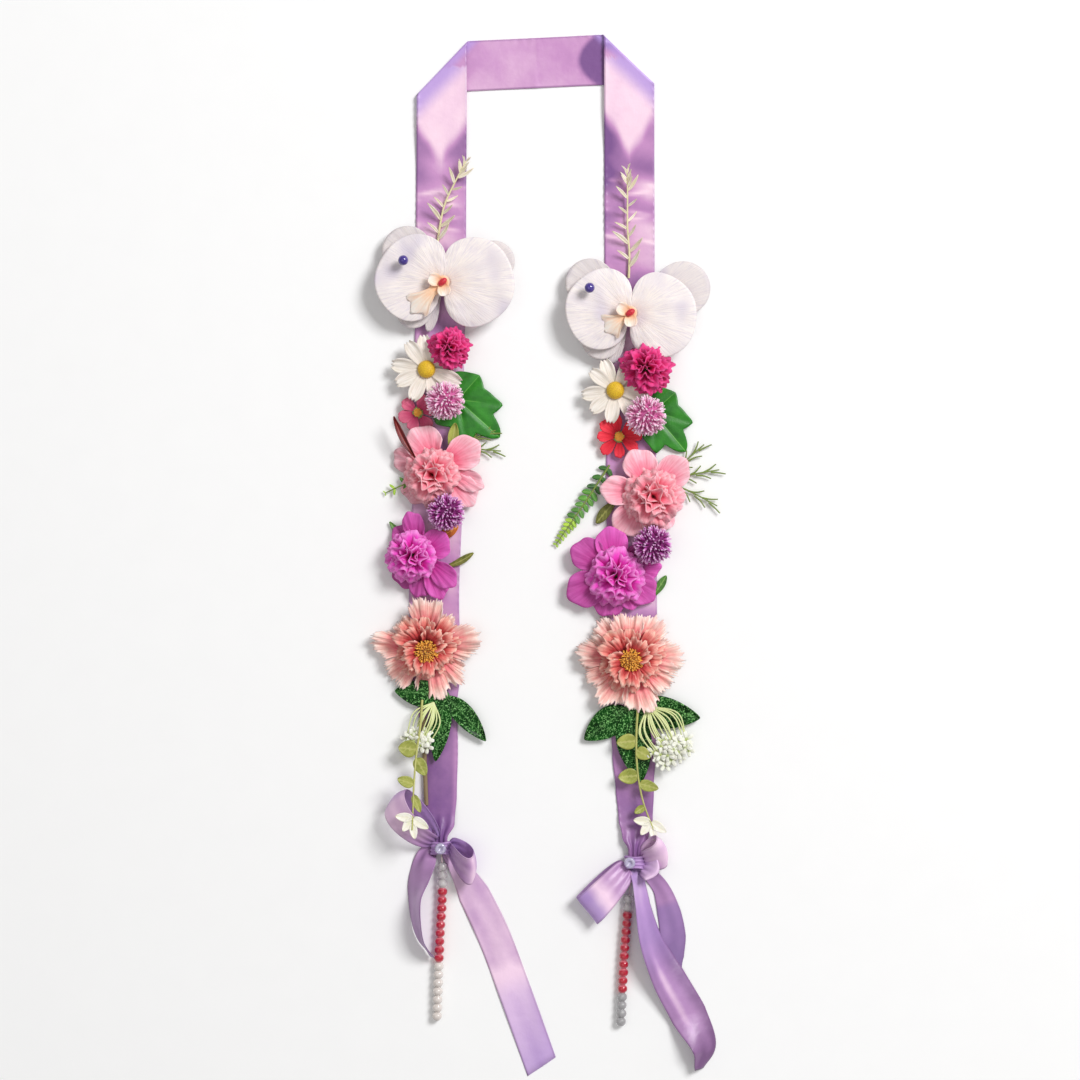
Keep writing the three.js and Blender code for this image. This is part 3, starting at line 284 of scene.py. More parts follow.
# %% The right strand
RIGHT = dict(
    side="right", corner=(63.8, 380.8), knot=(68, -228.8),
    gather=[(0, 9.6), (9, 10), (19, 20), (32, 26), (55, 29), (82, 33), (120, 38)],
    drift=[(0, 0), (130, 0.4), (410, 2.2), (530, 3.8), (580, 5), (604, 4.2)],
    # painted light and shade down the strand
    shine=[(88, -0.3), (112, -0.1), (140, 0.3), (158, 0.0), (180, -0.7), (214, 0.4), (250, 0.0),
           (330, 0.2), (500, 0.1), (540, -0.4), (567, -0.6)],
    sprig=[(63.5, 214, 2.6), (64, 232, 3), (62.5, 252, 4), (62.5, 275, 5), (62.3, 296, 6)],
    orchid=dict(
        at=(64, 186), lift=15, lip=214, tongue=22, pearl=(33.4, 204.4),
        petals=[(170, 48, 3), (-3, 50, 4)],
        sepals=[(142, 55, 21), (222, 42, 17), (26, 64, 23), (249, 38, 5)]),
    small_carnation=dict(at=(76.5, 144.4), lift=11, radius=17.4, tilt=5, lean=150),
    daisy=dict(at=(53.2, 128.4), lift=7, radius=24, eye=6.8, turn=26),
    pale_pompom=dict(at=(76, 108.7), lift=18, radius=15),
    cosmos=dict(at=(56.2, 93.5), lift=5, radius=17, eye=3.1, turn=4),
    ivy=dict(at=(77, 118), heading=-50, length=46),
    pink_carnation=dict(
        at=(78.3, 51.7), lift=7, head=21, tilt=4, lean=20, heart=(3, -4),
        skirt=[(107, 33, 13.5, 9, 0.6), (38, 36, 13, 11, 0.0), (178, 35, 11, 6, 0.4),
               (236, 38, 12.5, 3, -0.3), (293, 33, 12, 3, 0.7), (345, 29, 11, 5, 0.7)]),
    spray=dict(at=(92, 60), headings=(44, 12, -26), length=45),
    fern=dict(foot=(49, 72), tip=(8.5, 12), leaflets=26, long=9, half=2.5),
    small_leaves=[((78, -32), (92, -12), 3.2, 0.1, "green"), ((60, -20), (31, -26), 3.4, 0.0, "green"),
                  ((58, 49), (39, 28), 4.2, 0.1, "olive")],
    purple_pompom=dict(at=(81.3, 11.4), lift=16.5, radius=14.2),
    violet=dict(
        at=(52, -9), lift=7, head=20, tilt=3, lean=0, heart=(2, -3),
        skirt=[(145, 36, 12.5, 5, -0.4), (94, 33, 13, 10, 0.9), (211, 38, 14.5, 6, -0.5),
               (330, 36, 11.5, 5, 0.1), (262, 34, 11.5, 3, -0.3), (306, 33, 9, 3, 0.6),
               (30, 29, 10, 4, -0.8), (5, 35, 8, 3, 0.9)]),
    peach=dict(
        at=(64.6, -76), lift=6.5, radius=40, eye=9.3, tilt=3, lean=90, heart=(0, 0),
        skirt=[(95, 40, 15, 10, 0.2), (52, 41, 16, 9, 0.3), (8, 43, 16, 6, -0.2), (332, 41, 15, 7, 0.1),
               (285, 44, 18, 5, 0.7), (239, 42, 16, 8, 0.6), (195, 41, 13, 5, 0.0), (166, 44, 15, 8, -0.7),
               (132, 41, 14, 6, -0.1)]),
    leaves=dict(
        at=(63, -112),
        blades=[(216, 40, 10.5, 0.0), (-8, 54, 11.5, 0.0), (280, 56, 12.5, 0.0)]),
    umbel=dict(at=(78, -111), centre=(95, -144), spread=16.5, rays=17),
    vine=dict(
        path=[(70.5, -109, 7), (69, -135, 9.5), (70, -160, 9), (74, -182, 9), (82, -204, 10)],
        leaves=[(0.28, 185, 15, 6), (0.33, 330, 12, 5), (0.55, 184, 15, 6), (0.6, 345, 15, 4.4),
                (0.8, 212, 9, 3)]),
    loops=[((31.5, -265), 217, 11, 5, 5, 0, 26), ((91, -217), 22, 11, -26, 7, 3, 25),
           ((85, -236), -28, 6, 8, 9, 6, 19)],
    tails=[
        [(69, -232, 1, 0, 9), (71, -244, 7, -46, 14), (74, -262, 9.8, -56, 20), (81, -290, 9.5, -44, 25),
         (94, -318, 5, -18, 27), (109, -345, 2.5, -8, 28), (120.5, -370, 6, -36, 23), (117, -386, 5, -46, 9)],
        [(74, -231, 1.6, 0, 9), (81, -240, 1, 0, 11), (88.6, -250.5, 0.5, 0, 13), (94.2, -268, 0.5, 0, 18),
         (97, -286, 0.5, 0, 20), (96.5, -302, 0.5, 0, 18), (98, -311, 0.5, 0, 12)]],
    # painted light, cool reflection and streak of highlight for each loop and tail
    glow=[
        [(0, 0.2, 0, 0), (0.22, 0.2, 0, 0), (0.29, 1.1, 0, 0), (0.36, 0.2, 0.6, 0), (0.5, 0, 0.6, 0),
         (0.6, -0.5, 0.3, 0), (1, -0.5, 0, 0)],
        [(0, 0.5, 0, 0), (0.45, 0.8, 0, 0), (0.55, 0.4, 0, 0), (1, 0.4, 0, 0)],
        [(0, 0.5, 0.3, 0), (0.5, 0.8, 0.2, 0), (0.6, 0.1, 0.3, 0), (1, 0, 0.3, 0)],
        [(0, 0.5, 0.6, 0), (0.2, 0.2, 0.4, 0), (0.4, -0.45, 0.4, 0), (0.55, -0.35, 0.1, 0.9),
         (0.72, -0.4, 0, 0.7), (0.82, -0.9, 0, 0.1), (1, -1.1, 0, 0)],
        [(0, -0.2, 0, 0), (0.42, -0.3, 0, 0), (0.46, -0.9, 0.3, 0), (1, -1.1, 0.3, 0)]],
    beads=[(63.5, -254, 4), (62, -275, 4), (60, -300, 4), (57.5, -353, 4)],
    clear=2, red=10, smoky=4, thread=[(67, -234, 1.2), (65.2, -244, 2.6), (63.4, -256, 4)],
    ring_aside=-4,
)
STRANDS = (LEFT, RIGHT)


def both(entry):
    """Each side's name, with that side's entry of the layout."""
    return [(strand["side"], strand[entry]) for strand in STRANDS]


print("right bow:", len(RIGHT["loops"]), "loops and", len(RIGHT["tails"]), "tails")

# %% [markdown]
# ## Surfaces and lines
# Almost everything on a lei is a thin sheet: petals are stamped from starched fabric, leaves from printed
# fabric or soft plastic, the ribbon is woven. So one function makes a closed thin sheet from a grid of
# points. Its UV map runs from root to tip in u and across in v, which is what the dye and the creases
# follow. Another carries a finished piece into the frame and hands it over.

# %% Thin sheets, turned solids and lines
def skin(name, points, faces, uv=None, attributes=None):
    """A smooth mesh object from points in millimetres, with a UV place for each point."""
    mesh = bpy.data.meshes.new(name)
    mesh.from_pydata([tuple(map(float, p)) for p in points], [], faces)
    mesh.polygons.foreach_set("use_smooth", [True] * len(mesh.polygons))
    spread = np.zeros((len(points), 2)) if uv is None else np.asarray(uv, float)
    corners = np.zeros(len(mesh.loops), int)
    mesh.loops.foreach_get("vertex_index", corners)
    mesh.uv_layers.new(name="UVMap").data.foreach_set("uv", spread[corners].ravel())
    for label, values in (attributes or {}).items():
        mesh.attributes.new(label, "FLOAT", "POINT").data.foreach_set("value", np.asarray(values, float))
    return bpy.data.objects.new(name, mesh)


def sheet(name, grid, thick=0.4, attributes=None):
    """A closed thin sheet. grid holds points by row, from root to tip, and by column, across."""
    grid = np.asarray(grid, float)
    rows, cols = grid.shape[:2]
    normal = np.cross(np.gradient(grid, axis=0), np.gradient(grid, axis=1))
    normal /= np.maximum(np.linalg.norm(normal, axis=2, keepdims=True), 1e-9)
    points = np.concatenate([(grid + normal * thick / 2).reshape(-1, 3),
                             (grid - normal * thick / 2).reshape(-1, 3)])
    at = np.arange(rows * cols).reshape(rows, cols)
    quads = np.stack([at[:-1, :-1], at[1:, :-1], at[1:, 1:], at[:-1, 1:]], -1).reshape(-1, 4)
    rim = np.concatenate([at[0], at[1:, -1], at[-1, -2::-1], at[-2:0:-1, 0]])
    under = rows * cols
    faces = quads.tolist() + (quads[:, ::-1] + under).tolist() + [
        [int(a), int(b), int(b) + under, int(a) + under] for a, b in zip(rim, np.roll(rim, -1))]
    u, v = np.meshgrid(np.linspace(0, 1, rows), np.linspace(0, 1, cols), indexing="ij")
    uv = np.tile(np.stack([u, v], -1).reshape(-1, 2), (2, 1))
    return skin(name, points, faces, uv, {k: np.tile(np.ravel(a), 2) for k, a in (attributes or {}).items()})


def turned(name, profile, around=24):
    """A round solid about the Z axis from a list of (radius, height, u) from its foot to its crown."""
    points, uv = [], []
    for r, z, u in profile:
        for k in range(around):
            a = 2 * math.pi * k / around
            points.append((r * math.cos(a), r * math.sin(a), z))
            uv.append((u, k / around))
    faces = [[n * around + k, n * around + (k + 1) % around, (n + 1) * around + (k + 1) % around,
              (n + 1) * around + k] for n in range(len(profile) - 1) for k in range(around)]
    ends = [list(range(around))[::-1], [(len(profile) - 1) * around + k for k in range(around)]]
    return skin(name, points, faces + ends, uv)


def through(points, steps):
    """A smooth line through points, as centripetal Catmull-Rom, with steps + 1 points."""
    p = np.asarray(points, float)
    p = np.concatenate([[2 * p[0] - p[1]], p, [2 * p[-1] - p[-2]]])
    out = []
    for n in range(steps + 1):
        w = n / steps * (len(points) - 1)
        k = min(int(w), len(points) - 2)
        w -= k
        a, b, c, d = p[k:k + 4]
        gaps = [max(np.linalg.norm(e[:3]) ** 0.5, 1e-4) for e in (b - a, c - b, d - c)]
        m1 = ((b - a) / gaps[0] - (c - a) / (gaps[0] + gaps[1]) + (c - b) / gaps[1]) * gaps[1]
        m2 = ((c - b) / gaps[1] - (d - b) / (gaps[1] + gaps[2]) + (d - c) / gaps[2]) * gaps[1]
        out.append((2 * w ** 3 - 3 * w * w + 1) * b + (w ** 3 - 2 * w * w + w) * m1
                   + (-2 * w ** 3 + 3 * w * w) * c + (w ** 3 - w * w) * m2)
    return np.array(out)


def lines(name, paths):
    """Open lines as one mesh of edges, for the stem tree to give them a body."""
    mesh = bpy.data.meshes.new(name)
    points, edges = [], []
    for path in paths:
        edges += [(len(points) + n, len(points) + n + 1) for n in range(len(path) - 1)]
        points += [tuple(map(float, p)) for p in path]
    mesh.from_pydata(points, edges, [])
    return bpy.data.objects.new(name, mesh)


# %% Placing a piece and handing it over
def standing(bloom, above=0.0):
    """The place of a bloom: up on its stub, tipped about its base, in the frame."""
    lean = math.radians(bloom.get("lean", 0))
    tip = Matrix.Rotation(math.radians(bloom.get("tilt", 0)), 4, (-math.sin(lean), math.cos(lean), 0))
    base = Matrix.Translation((*bloom["at"], bloom["lift"]))
    return TO_FRAME @ base @ tip @ Matrix.Translation((0, 0, above))


def merged(name, parts):
    """Joins loose mesh objects into one, keeping their UV maps."""
    for part in parts:
        scene.collection.objects.link(part)
    with bpy.context.temp_override(active_object=parts[0], selected_editable_objects=parts,
                                   selected_objects=parts):
        bpy.ops.object.join()
    parts[0].name = name
    scene.collection.objects.unlink(parts[0])
    return parts[0]


def hand_over(piece, place, slot, *nodes, dyed=None):
    """Makes the piece a plain mesh in the frame, dyed if it has no finish yet, and hides the solids that it
    stands for."""
    if dyed:
        piece.data.materials.append(dyed)
    if piece.name not in scene.collection.objects:
        scene.collection.objects.link(piece)
    bpy.context.view_layer.update()
    evaluated = piece.evaluated_get(bpy.context.evaluated_depsgraph_get())
    mesh = bpy.data.meshes.new_from_object(evaluated)
    piece.modifiers.clear()
    piece.data = mesh
    mesh.name = piece.name
    mesh.transform(place)
    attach(piece, "root")
    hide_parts(*nodes)
    print(piece.name, sum(len(f.vertices) - 2 for f in mesh.polygons), "triangles")
    return piece


middle = standing(LEFT["orchid"]).translation
print("the left orchid's middle, in metres:", [round(v, 3) for v in middle])

# %% [markdown]
# ## Trees that repeat
# A flower is one petal, repeated. Geometry Nodes say the rule once: the first tree sets petals in a ring,
# the second packs florets over a dome by the golden angle, as a real flower head does, the third sets
# leaves or beads along a line, and the fourth gives a line its body. A fifth comes with the umbels. The
# first three add to what the piece already has, so several can be stacked on one piece. Each copy also gets
# a random tone, so that no two petals take the light alike.

# %% Building a tree and using it
def new_tree(name, sizes):
    """A Geometry Nodes tree with named inputs, the sockets that give them, and its output node."""
    tree = bpy.data.node_groups.new(name, "GeometryNodeTree")
    tree.interface.new_socket("Geometry", in_out="INPUT", socket_type="NodeSocketGeometry")
    for label, value in sizes.items():
        kind = value if isinstance(value, str) else type(value).__name__.title()  # Int or Float
        socket = tree.interface.new_socket(label, in_out="INPUT", socket_type="NodeSocket" + kind)
        if kind != value:
            socket.default_value = value
    tree.interface.new_socket("Geometry", in_out="OUTPUT", socket_type="NodeSocketGeometry")
    given = {socket.name: socket for socket in add(tree, "NodeGroupInput").outputs}
    return tree, given, add(tree, "NodeGroupOutput")


def grow(piece, tree, **sizes):
    """Adds the tree to the piece, with each named input set by its identifier."""
    step = piece.modifiers.new(tree.name, "NODES")
    step.node_group = tree
    keys = {item.name: item.identifier for item in tree.interface.items_tree if item.in_out == "INPUT"}
    for label, value in sizes.items():
        step[keys[label.replace("_", " ")]] = value
    return piece


def empty(name):
    """A piece with nothing in it yet, for the trees to fill."""
    return bpy.data.objects.new(name, bpy.data.meshes.new(name))


SHARED = {"Item": "Object", "Count": 5, "Size": 1.0, "Unevenness": 0.05, "Seed": 1, "Material": "Material"}
print("the repeating trees share the inputs", ", ".join(SHARED))

# %% What the repeating trees share
SIZE_SEED, TONE_SEED = 11, 23  # what is added to a tree's seed for the sizes and the tones of its copies
GOLDEN_ANGLE = 2.39996  # in radians, the turn from one floret of a flower head to the next


def chances(tree, given, *shifts):
    """Random values from -1 to 1 for each copy, one for each number that is added to the seed."""
    index = add(tree, "GeometryNodeInputIndex")
    return [add(tree, "FunctionNodeRandomValue", {  # inputs 2 and 3 are its range, 7 the copy, 8 the seed
        2: -1.0, 3: 1.0, 7: index,
        8: add(tree, MATH, [given["Seed"], float(shift)])}).outputs[1]
        for shift in shifts]


def poised(tree, given, lifting, rolling, heading):
    """How a copy stands: climbing by Climb and rolled, both with some unrest, and turned to its heading."""
    lifted = add(tree, MATH, [lifting, given["Unrest"], given["Climb"]], operation="MULTIPLY_ADD")
    climb = add(tree, MATH, [add(tree, MATH, [lifted], operation="RADIANS"), -1.0], operation="MULTIPLY")
    roll = add(tree, MATH, [
        add(tree, MATH, [rolling, given["Unrest"]], operation="MULTIPLY"),
    ], operation="RADIANS")
    return add(tree, "ShaderNodeCombineXYZ", {"X": roll, "Y": climb, "Z": heading})


def scatter(tree, given, points, rotation, shrink=1.0):
    """Copies on points, each with its own size and tone, made real and dyed."""
    item = add(tree, "GeometryNodeObjectInfo", {"Object": given["Item"]}).outputs["Geometry"]
    uneven, tone = chances(tree, given, SIZE_SEED, TONE_SEED)
    ratio = add(tree, MATH, [uneven, given["Unevenness"], 1.0], operation="MULTIPLY_ADD")
    size = add(tree, MATH, [ratio, given["Size"]], operation="MULTIPLY")
    copies = add(tree, "GeometryNodeInstanceOnPoints", {
        "Points": points, "Instance": item, "Rotation": rotation,
        "Scale": add(tree, MATH, [size, shrink], operation="MULTIPLY")})
    toned = add(tree, "GeometryNodeStoreNamedAttribute", {
        "Geometry": copies, "Name": "tone", "Value": tone}, domain="INSTANCE")
    return add(tree, "GeometryNodeSetMaterial", {
        "Geometry": add(tree, "GeometryNodeRealizeInstances", {"Geometry": toned}),
        "Material": given["Material"]})


def stacked(tree, given, copies, end):
    """Ends a tree by joining its copies to what the piece already has."""
    joined = add(tree, "GeometryNodeJoinGeometry")
    for part in (given["Geometry"], copies.outputs["Geometry"]):
        tree.links.new(part, joined.inputs[0])
    tree.links.new(joined.outputs[0], end.inputs[0])
    print("tree", tree.name, "with", len(tree.nodes), "nodes")


print("the golden angle is", round(math.degrees(GOLDEN_ANGLE), 1), "degrees")

# %% Petals in a ring
WHORL, given, end = new_tree("petals_in_a_ring", {
    **SHARED, "Reach": 1.0, "Height": 0.0, "Climb": 10.0,
    "Turn": 0.0, "Swing": 4.0, "Unrest": 4.0})
swinging, lifting, rolling = chances(WHORL, given, 0, 1, 2)
step = add(WHORL, MATH, [360.0, given["Count"]], operation="DIVIDE")
even = add(WHORL, MATH, [
    step, add(WHORL, "GeometryNodeInputIndex"), given["Turn"]], operation="MULTIPLY_ADD")
turn = add(WHORL, MATH, [swinging, given["Swing"], even], operation="MULTIPLY_ADD")
heading = add(WHORL, MATH, [turn], operation="RADIANS")
place = add(WHORL, "ShaderNodeVectorRotate", {
    "Vector": add(WHORL, "ShaderNodeCombineXYZ", {"X": given["Reach"], "Z": given["Height"]}),
    "Angle": heading}, rotation_type="Z_AXIS")
points = add(WHORL, "GeometryNodePoints", {"Count": given["Count"], "Position": place})
copies = scatter(WHORL, given, points, poised(WHORL, given, lifting, rolling, heading))
stacked(WHORL, given, copies, end)

# %% Florets over a dome
DOME, given, end = new_tree("florets_over_a_dome", {
    **SHARED, "Radius": 10.0, "Squash": 1.0, "Spread": 180.0,
    "Wobble": 10.0, "Rough": 0.05})
index = add(DOME, "GeometryNodeInputIndex")
reaching, *nudging, spinning = chances(DOME, given, 0, 1, 2, 3)
share = add(DOME, MATH, [add(DOME, MATH, [index, 0.5]), given["Count"]], operation="DIVIDE")
spread = add(DOME, MATH, [given["Spread"]], operation="RADIANS")
deep = add(DOME, MATH, [1.0, add(DOME, MATH, [spread], operation="COSINE")], operation="SUBTRACT")
level = add(DOME, MATH, [1.0, add(DOME, MATH, [share, deep], operation="MULTIPLY")], operation="SUBTRACT")
fall = add(DOME, MATH, [level], operation="ARCCOSINE")  # from the crown, the same area each
around = add(DOME, MATH, [index, GOLDEN_ANGLE], operation="MULTIPLY")
leaning = add(DOME, "ShaderNodeVectorRotate", {"Vector": (0, 0, 1), "Angle": fall}, rotation_type="Y_AXIS")
outward = add(DOME, "ShaderNodeVectorRotate", {"Vector": leaning, "Angle": around}, rotation_type="Z_AXIS")
rough = add(DOME, MATH, [reaching, given["Rough"], 1.0], operation="MULTIPLY_ADD")
reach = add(DOME, MATH, [rough, given["Radius"]], operation="MULTIPLY")
ball = add(DOME, "ShaderNodeVectorMath", {0: outward, "Scale": reach}, operation="SCALE")
squashed = add(DOME, "ShaderNodeVectorMath", {
    0: ball, 1: add(DOME, "ShaderNodeCombineXYZ", {"X": 1.0, "Y": 1.0, "Z": given["Squash"]}),
}, operation="MULTIPLY")
points = add(DOME, "GeometryNodePoints", {"Count": given["Count"], "Position": squashed})
facing = add(DOME, "FunctionNodeAlignRotationToVector", {"Vector": outward}, axis="Z")
nudge = [add(DOME, MATH, [
    add(DOME, MATH, [chance, given["Wobble"]], operation="MULTIPLY"),
], operation="RADIANS") for chance in nudging]
spin = add(DOME, MATH, [spinning, math.pi], operation="MULTIPLY")
rotation = add(DOME, "FunctionNodeRotateRotation", {
    "Rotation": facing, "Rotate By": add(DOME, "ShaderNodeCombineXYZ", {
        "X": nudge[0], "Y": nudge[1], "Z": spin})}, rotation_space="LOCAL")
stacked(DOME, given, scatter(DOME, given, points, rotation), end)

# %% Leaves or beads along a line
ALONG, given, end = new_tree("leaves_along_a_line", {
    **SHARED, "Line": "Object", "Start": 0.0, "End": 1.0,
    "Lean": 45.0, "Climb": 0.0, "Unrest": 4.0, "Together": 2,
    "Last size": 1.0})
index = add(ALONG, "GeometryNodeInputIndex")
leaning, lifting, rolling = chances(ALONG, given, 0, 1, 2)
joint = add(ALONG, MATH, [add(ALONG, MATH, [
    index, given["Together"]], operation="DIVIDE")], operation="FLOOR")
final = add(ALONG, MATH, [given["Count"], 1.0], operation="SUBTRACT")
last = add(ALONG, MATH, [add(ALONG, MATH, [
    final, given["Together"]], operation="DIVIDE")], operation="FLOOR")
share = add(ALONG, MATH, [joint, last], operation="DIVIDE")
factor = add(ALONG, RANGE, {"Value": share, "To Min": given["Start"], "To Max": given["End"]})
line = add(ALONG, "GeometryNodeMeshToCurve", {"Mesh": add(ALONG, "GeometryNodeObjectInfo", {
    "Object": given["Line"]}).outputs["Geometry"]})
sample = add(ALONG, "GeometryNodeSampleCurve", {"Curves": line, "Factor": factor})
way = add(ALONG, "ShaderNodeSeparateXYZ", {"Vector": sample.outputs["Tangent"]})
ahead = add(ALONG, MATH, [way.outputs["Y"], way.outputs["X"]], operation="ARCTAN2")
hand = add(ALONG, MATH, [  # -1 for every second copy, so that they stand left and right by turns
    add(ALONG, MATH, [index, 2.0], operation="MODULO"), 2.0, -1.0],
    operation="MULTIPLY_ADD")
lean = add(ALONG, MATH, [leaning, given["Unrest"], given["Lean"]], operation="MULTIPLY_ADD")
heading = add(ALONG, MATH, [
    add(ALONG, MATH, [lean], operation="RADIANS"), hand, ahead],
    operation="MULTIPLY_ADD")
points = add(ALONG, "GeometryNodePoints", {"Count": given["Count"], "Position": sample.outputs["Position"]})
shrink = add(ALONG, RANGE, {"Value": share, "To Min": 1.0, "To Max": given["Last size"]})
copies = scatter(ALONG, given, points, poised(ALONG, given, lifting, rolling, heading), shrink)
stacked(ALONG, given, copies, end)

# %% A body for a line
STEM, given, end = new_tree("body_for_a_line", {
    "Root radius": 1.0, "Tip radius": 0.5, "Sides": 8,
    "Material": "Material"})
width = add(STEM, RANGE, {
    "Value": add(STEM, "GeometryNodeSplineParameter").outputs["Factor"],
    "To Min": given["Root radius"], "To Max": given["Tip radius"]})
tube = add(STEM, "GeometryNodeCurveToMesh", {
    "Curve": add(STEM, "GeometryNodeMeshToCurve", {"Mesh": given["Geometry"]}),
    "Profile Curve": add(STEM, "GeometryNodeCurvePrimitiveCircle", {
        "Resolution": given["Sides"], "Radius": 1.0}),
    "Scale": width, "Fill Caps": True})
smooth = add(STEM, "GeometryNodeSetShadeSmooth", {"Geometry": tube})
dyed = add(STEM, "GeometryNodeSetMaterial", {
    "Geometry": add(STEM, "GeometryNodeRealizeInstances", {"Geometry": smooth}),
    "Material": given["Material"]})
STEM.links.new(dyed.outputs[0], end.inputs[0])
print("tree", STEM.name, "with", len(STEM.nodes), "nodes")

# %% [markdown]
# ## Dyed silk
# The petals are woven polyester, called silk in the trade. Each is stamped from starched cloth, dyed from
# the root outwards with a brush, and pressed between hot moulds that leave fine creases fanning out from
# the root. So the colour follows u, the creases follow v, and the surface is matt with a little sheen. The
# creases are also painted darker, as painted shade, and on the orchid soft patches of painted shade lie over
# the petals.

# %% Silk for petals
def silk(name, stops, streaks=34, depth=0.25, spread=0.08, crease=None, rough=0.65, shaded=0.0, run=1.6):
    """Starched, brush-dyed petal silk. stops run from root to rim, streaks is how many creases cross a
    petal, run how often they break off, depth how dark the painted shade in them is, crease the colour of
    that painted shade, shaded how much of it lies in soft patches of painted shade, and spread how far
    petals differ in tone."""
    base = finish(
        name, Roughness=rough, Sheen_Weight=0.06, Sheen_Roughness=0.45, IOR=1.46,
        Subsurface_Weight=0.06, Subsurface_Radius=(1.0, 0.8, 0.8), Subsurface_Scale=0.001)
    tree = base[1]
    uv = add(tree, "ShaderNodeUVMap", uv_map="UVMap")
    where = add(tree, "ShaderNodeTexCoord").outputs["Object"]
    brush = add(tree, NOISE, {"Vector": where, "Scale": 260.0, "Detail": 3.0})  # 4 mm dabs
    reach = add(tree, MATH, [
        add(tree, MATH, [brush, 0.5], operation="SUBTRACT"), 0.3,
        add(tree, "ShaderNodeSeparateXYZ", {"Vector": uv}).outputs["X"]], operation="MULTIPLY_ADD")
    dye = add(tree, "ShaderNodeValToRGB", {"Fac": reach}, stops=stops)
    fan = add(tree, "ShaderNodeMapping", {"Vector": uv, "Scale": (run, streaks, 1)})
    folds = add(tree, NOISE, {"Vector": fan, "Scale": 1.0, "Detail": 2.0, "Roughness": 0.6})
    # painted shade in the creases
    dark = add(tree, RANGE, {
        "Value": folds, "From Min": 0.32, "From Max": 0.6, "To Min": depth, "To Max": 0.0})
    # soft patches of painted shade
    patches = add(tree, NOISE, {  # soft, 26 mm across
        "Vector": where, "Scale": 38.0, "Detail": 1.0})
    cool = add(tree, RANGE, {"Value": patches, "From Min": 0.5, "From Max": 0.72, "To Max": shaded})
    shade = add(tree, "ShaderNodeMix", {
        "Factor": add(tree, MATH, [dark, cool], operation="MAXIMUM"),
        "A": dye.outputs["Color"], "B": colour(crease or stops[0])}, data_type="RGBA")
    weave = add(tree, NOISE, {  # threads drawn 0.4 mm apart, so that they show
        "Vector": where, "Scale": 2500.0, "Detail": 1.0})
    height = add(tree, MATH, [weave, 0.2, folds], operation="MULTIPLY_ADD")
    return surfaced(base, toned(tree, shade.outputs[2], spread), height, 0.45, 0.0008)


SILK = {
    # the orchid's creases and soft patches take a lavender-grey painted shade
    "orchid": silk("white_orchid_silk", {0: "#ecd8cc", 0.35: "#f6ebe4", 1: "#f4ebe8"}, streaks=84,
        depth=0.42, spread=0.2, crease="#c4bad2", rough=0.7, shaded=0.7, run=3.6),
    "daisy": silk("white_daisy_silk", {0: "#cfc4b0", 0.3: "#efe6dc", 1: "#f6efe8"}, streaks=8, depth=0.55),
    "magenta": silk("magenta_carnation_silk", {0: "#68002c", 0.35: "#bc0450", 0.75: "#e41874",
        1: "#f24c98"}, streaks=10, depth=0.5, spread=0.25),
    "pale": silk("pale_lilac_floret_silk", {0: "#c45c98", 0.45: "#ea90c0", 0.8: "#fcc4e4", 1: "#ffe8f4"},
        streaks=4, spread=0.12),
    "purple": silk("purple_floret_silk", {0: "#701060", 0.45: "#a82c8c", 0.75: "#c868bc", 1: "#f6c8f0"},
        streaks=4, spread=0.22),
    "rose": silk("rose_cosmos_silk", {0: "#b02850", 0.4: "#c84470", 1: "#d8708c"}, streaks=12),
    "red": silk("red_cosmos_silk", {0: "#b00c28", 0.4: "#ea1834", 1: "#f83c50"}, streaks=12),
    "pink": silk("pink_carnation_silk", {0: "#c02448", 0.35: "#f0607c", 0.7: "#fa8ca0", 1: "#ffc4cc"},
        streaks=14, depth=0.4, spread=0.14),
    "pink_skirt": silk("pink_petal_silk", {0: "#cc3454", 0.4: "#ee7490", 0.7: "#f8a8ba", 1: "#fdd0da"},
        streaks=20, depth=0.35, spread=0.16),
    "violet": silk("violet_carnation_silk", {0: "#900460", 0.35: "#d8149c", 0.75: "#f044c8", 1: "#fc94e4"},
        streaks=12, depth=0.4, spread=0.16),
    "violet_skirt": silk("violet_petal_silk", {0: "#98106c", 0.4: "#c02c94", 1: "#d460b8"}, streaks=20,
        depth=0.35, spread=0.28),
    "peach": silk("peach_bloom_silk", {0: "#8c1420", 0.3: "#cc3c48", 0.46: "#e8707c", 0.66: "#f6a4a0",
        0.82: "#fac8bc", 1: "#feece2"}, streaks=16, depth=0.34, spread=0.2, crease="#c44c58"),
    "peach_heart": silk("coral_bloom_silk", {0: "#5c080e", 0.4: "#8c161e", 0.6: "#c43e3e", 0.8: "#e8867c",
        1: "#fac8b6"}, streaks=12, depth=0.45, spread=0.18, crease="#a8343c"),
    "lip": silk("peach_lip_silk", {0: "#f4a878", 0.3: "#f8cca4", 0.6: "#f8e4d0", 1: "#f6f0ea"}, streaks=7,
        depth=0.4),
    "floret": silk("white_floret_silk", {0: "#b8c870", 0.3: "#ecece0", 1: "#f6f4ee"}, streaks=4),
}
print(len(SILK), "petal silks")

# %% [markdown]
# ## Leaves
# The leaves are soft moulded plastic or waxed cloth: greener and glossier than silk, with veins pressed in.
# The distance to the nearest vein is worked out in millimetres when a leaf's mesh is made and kept as an
# attribute, so a vein has the same width all along and follows the leaf wherever it bends.

# %% Leaf finishes
VEIN_WIDE = 0.35  # in millimetres


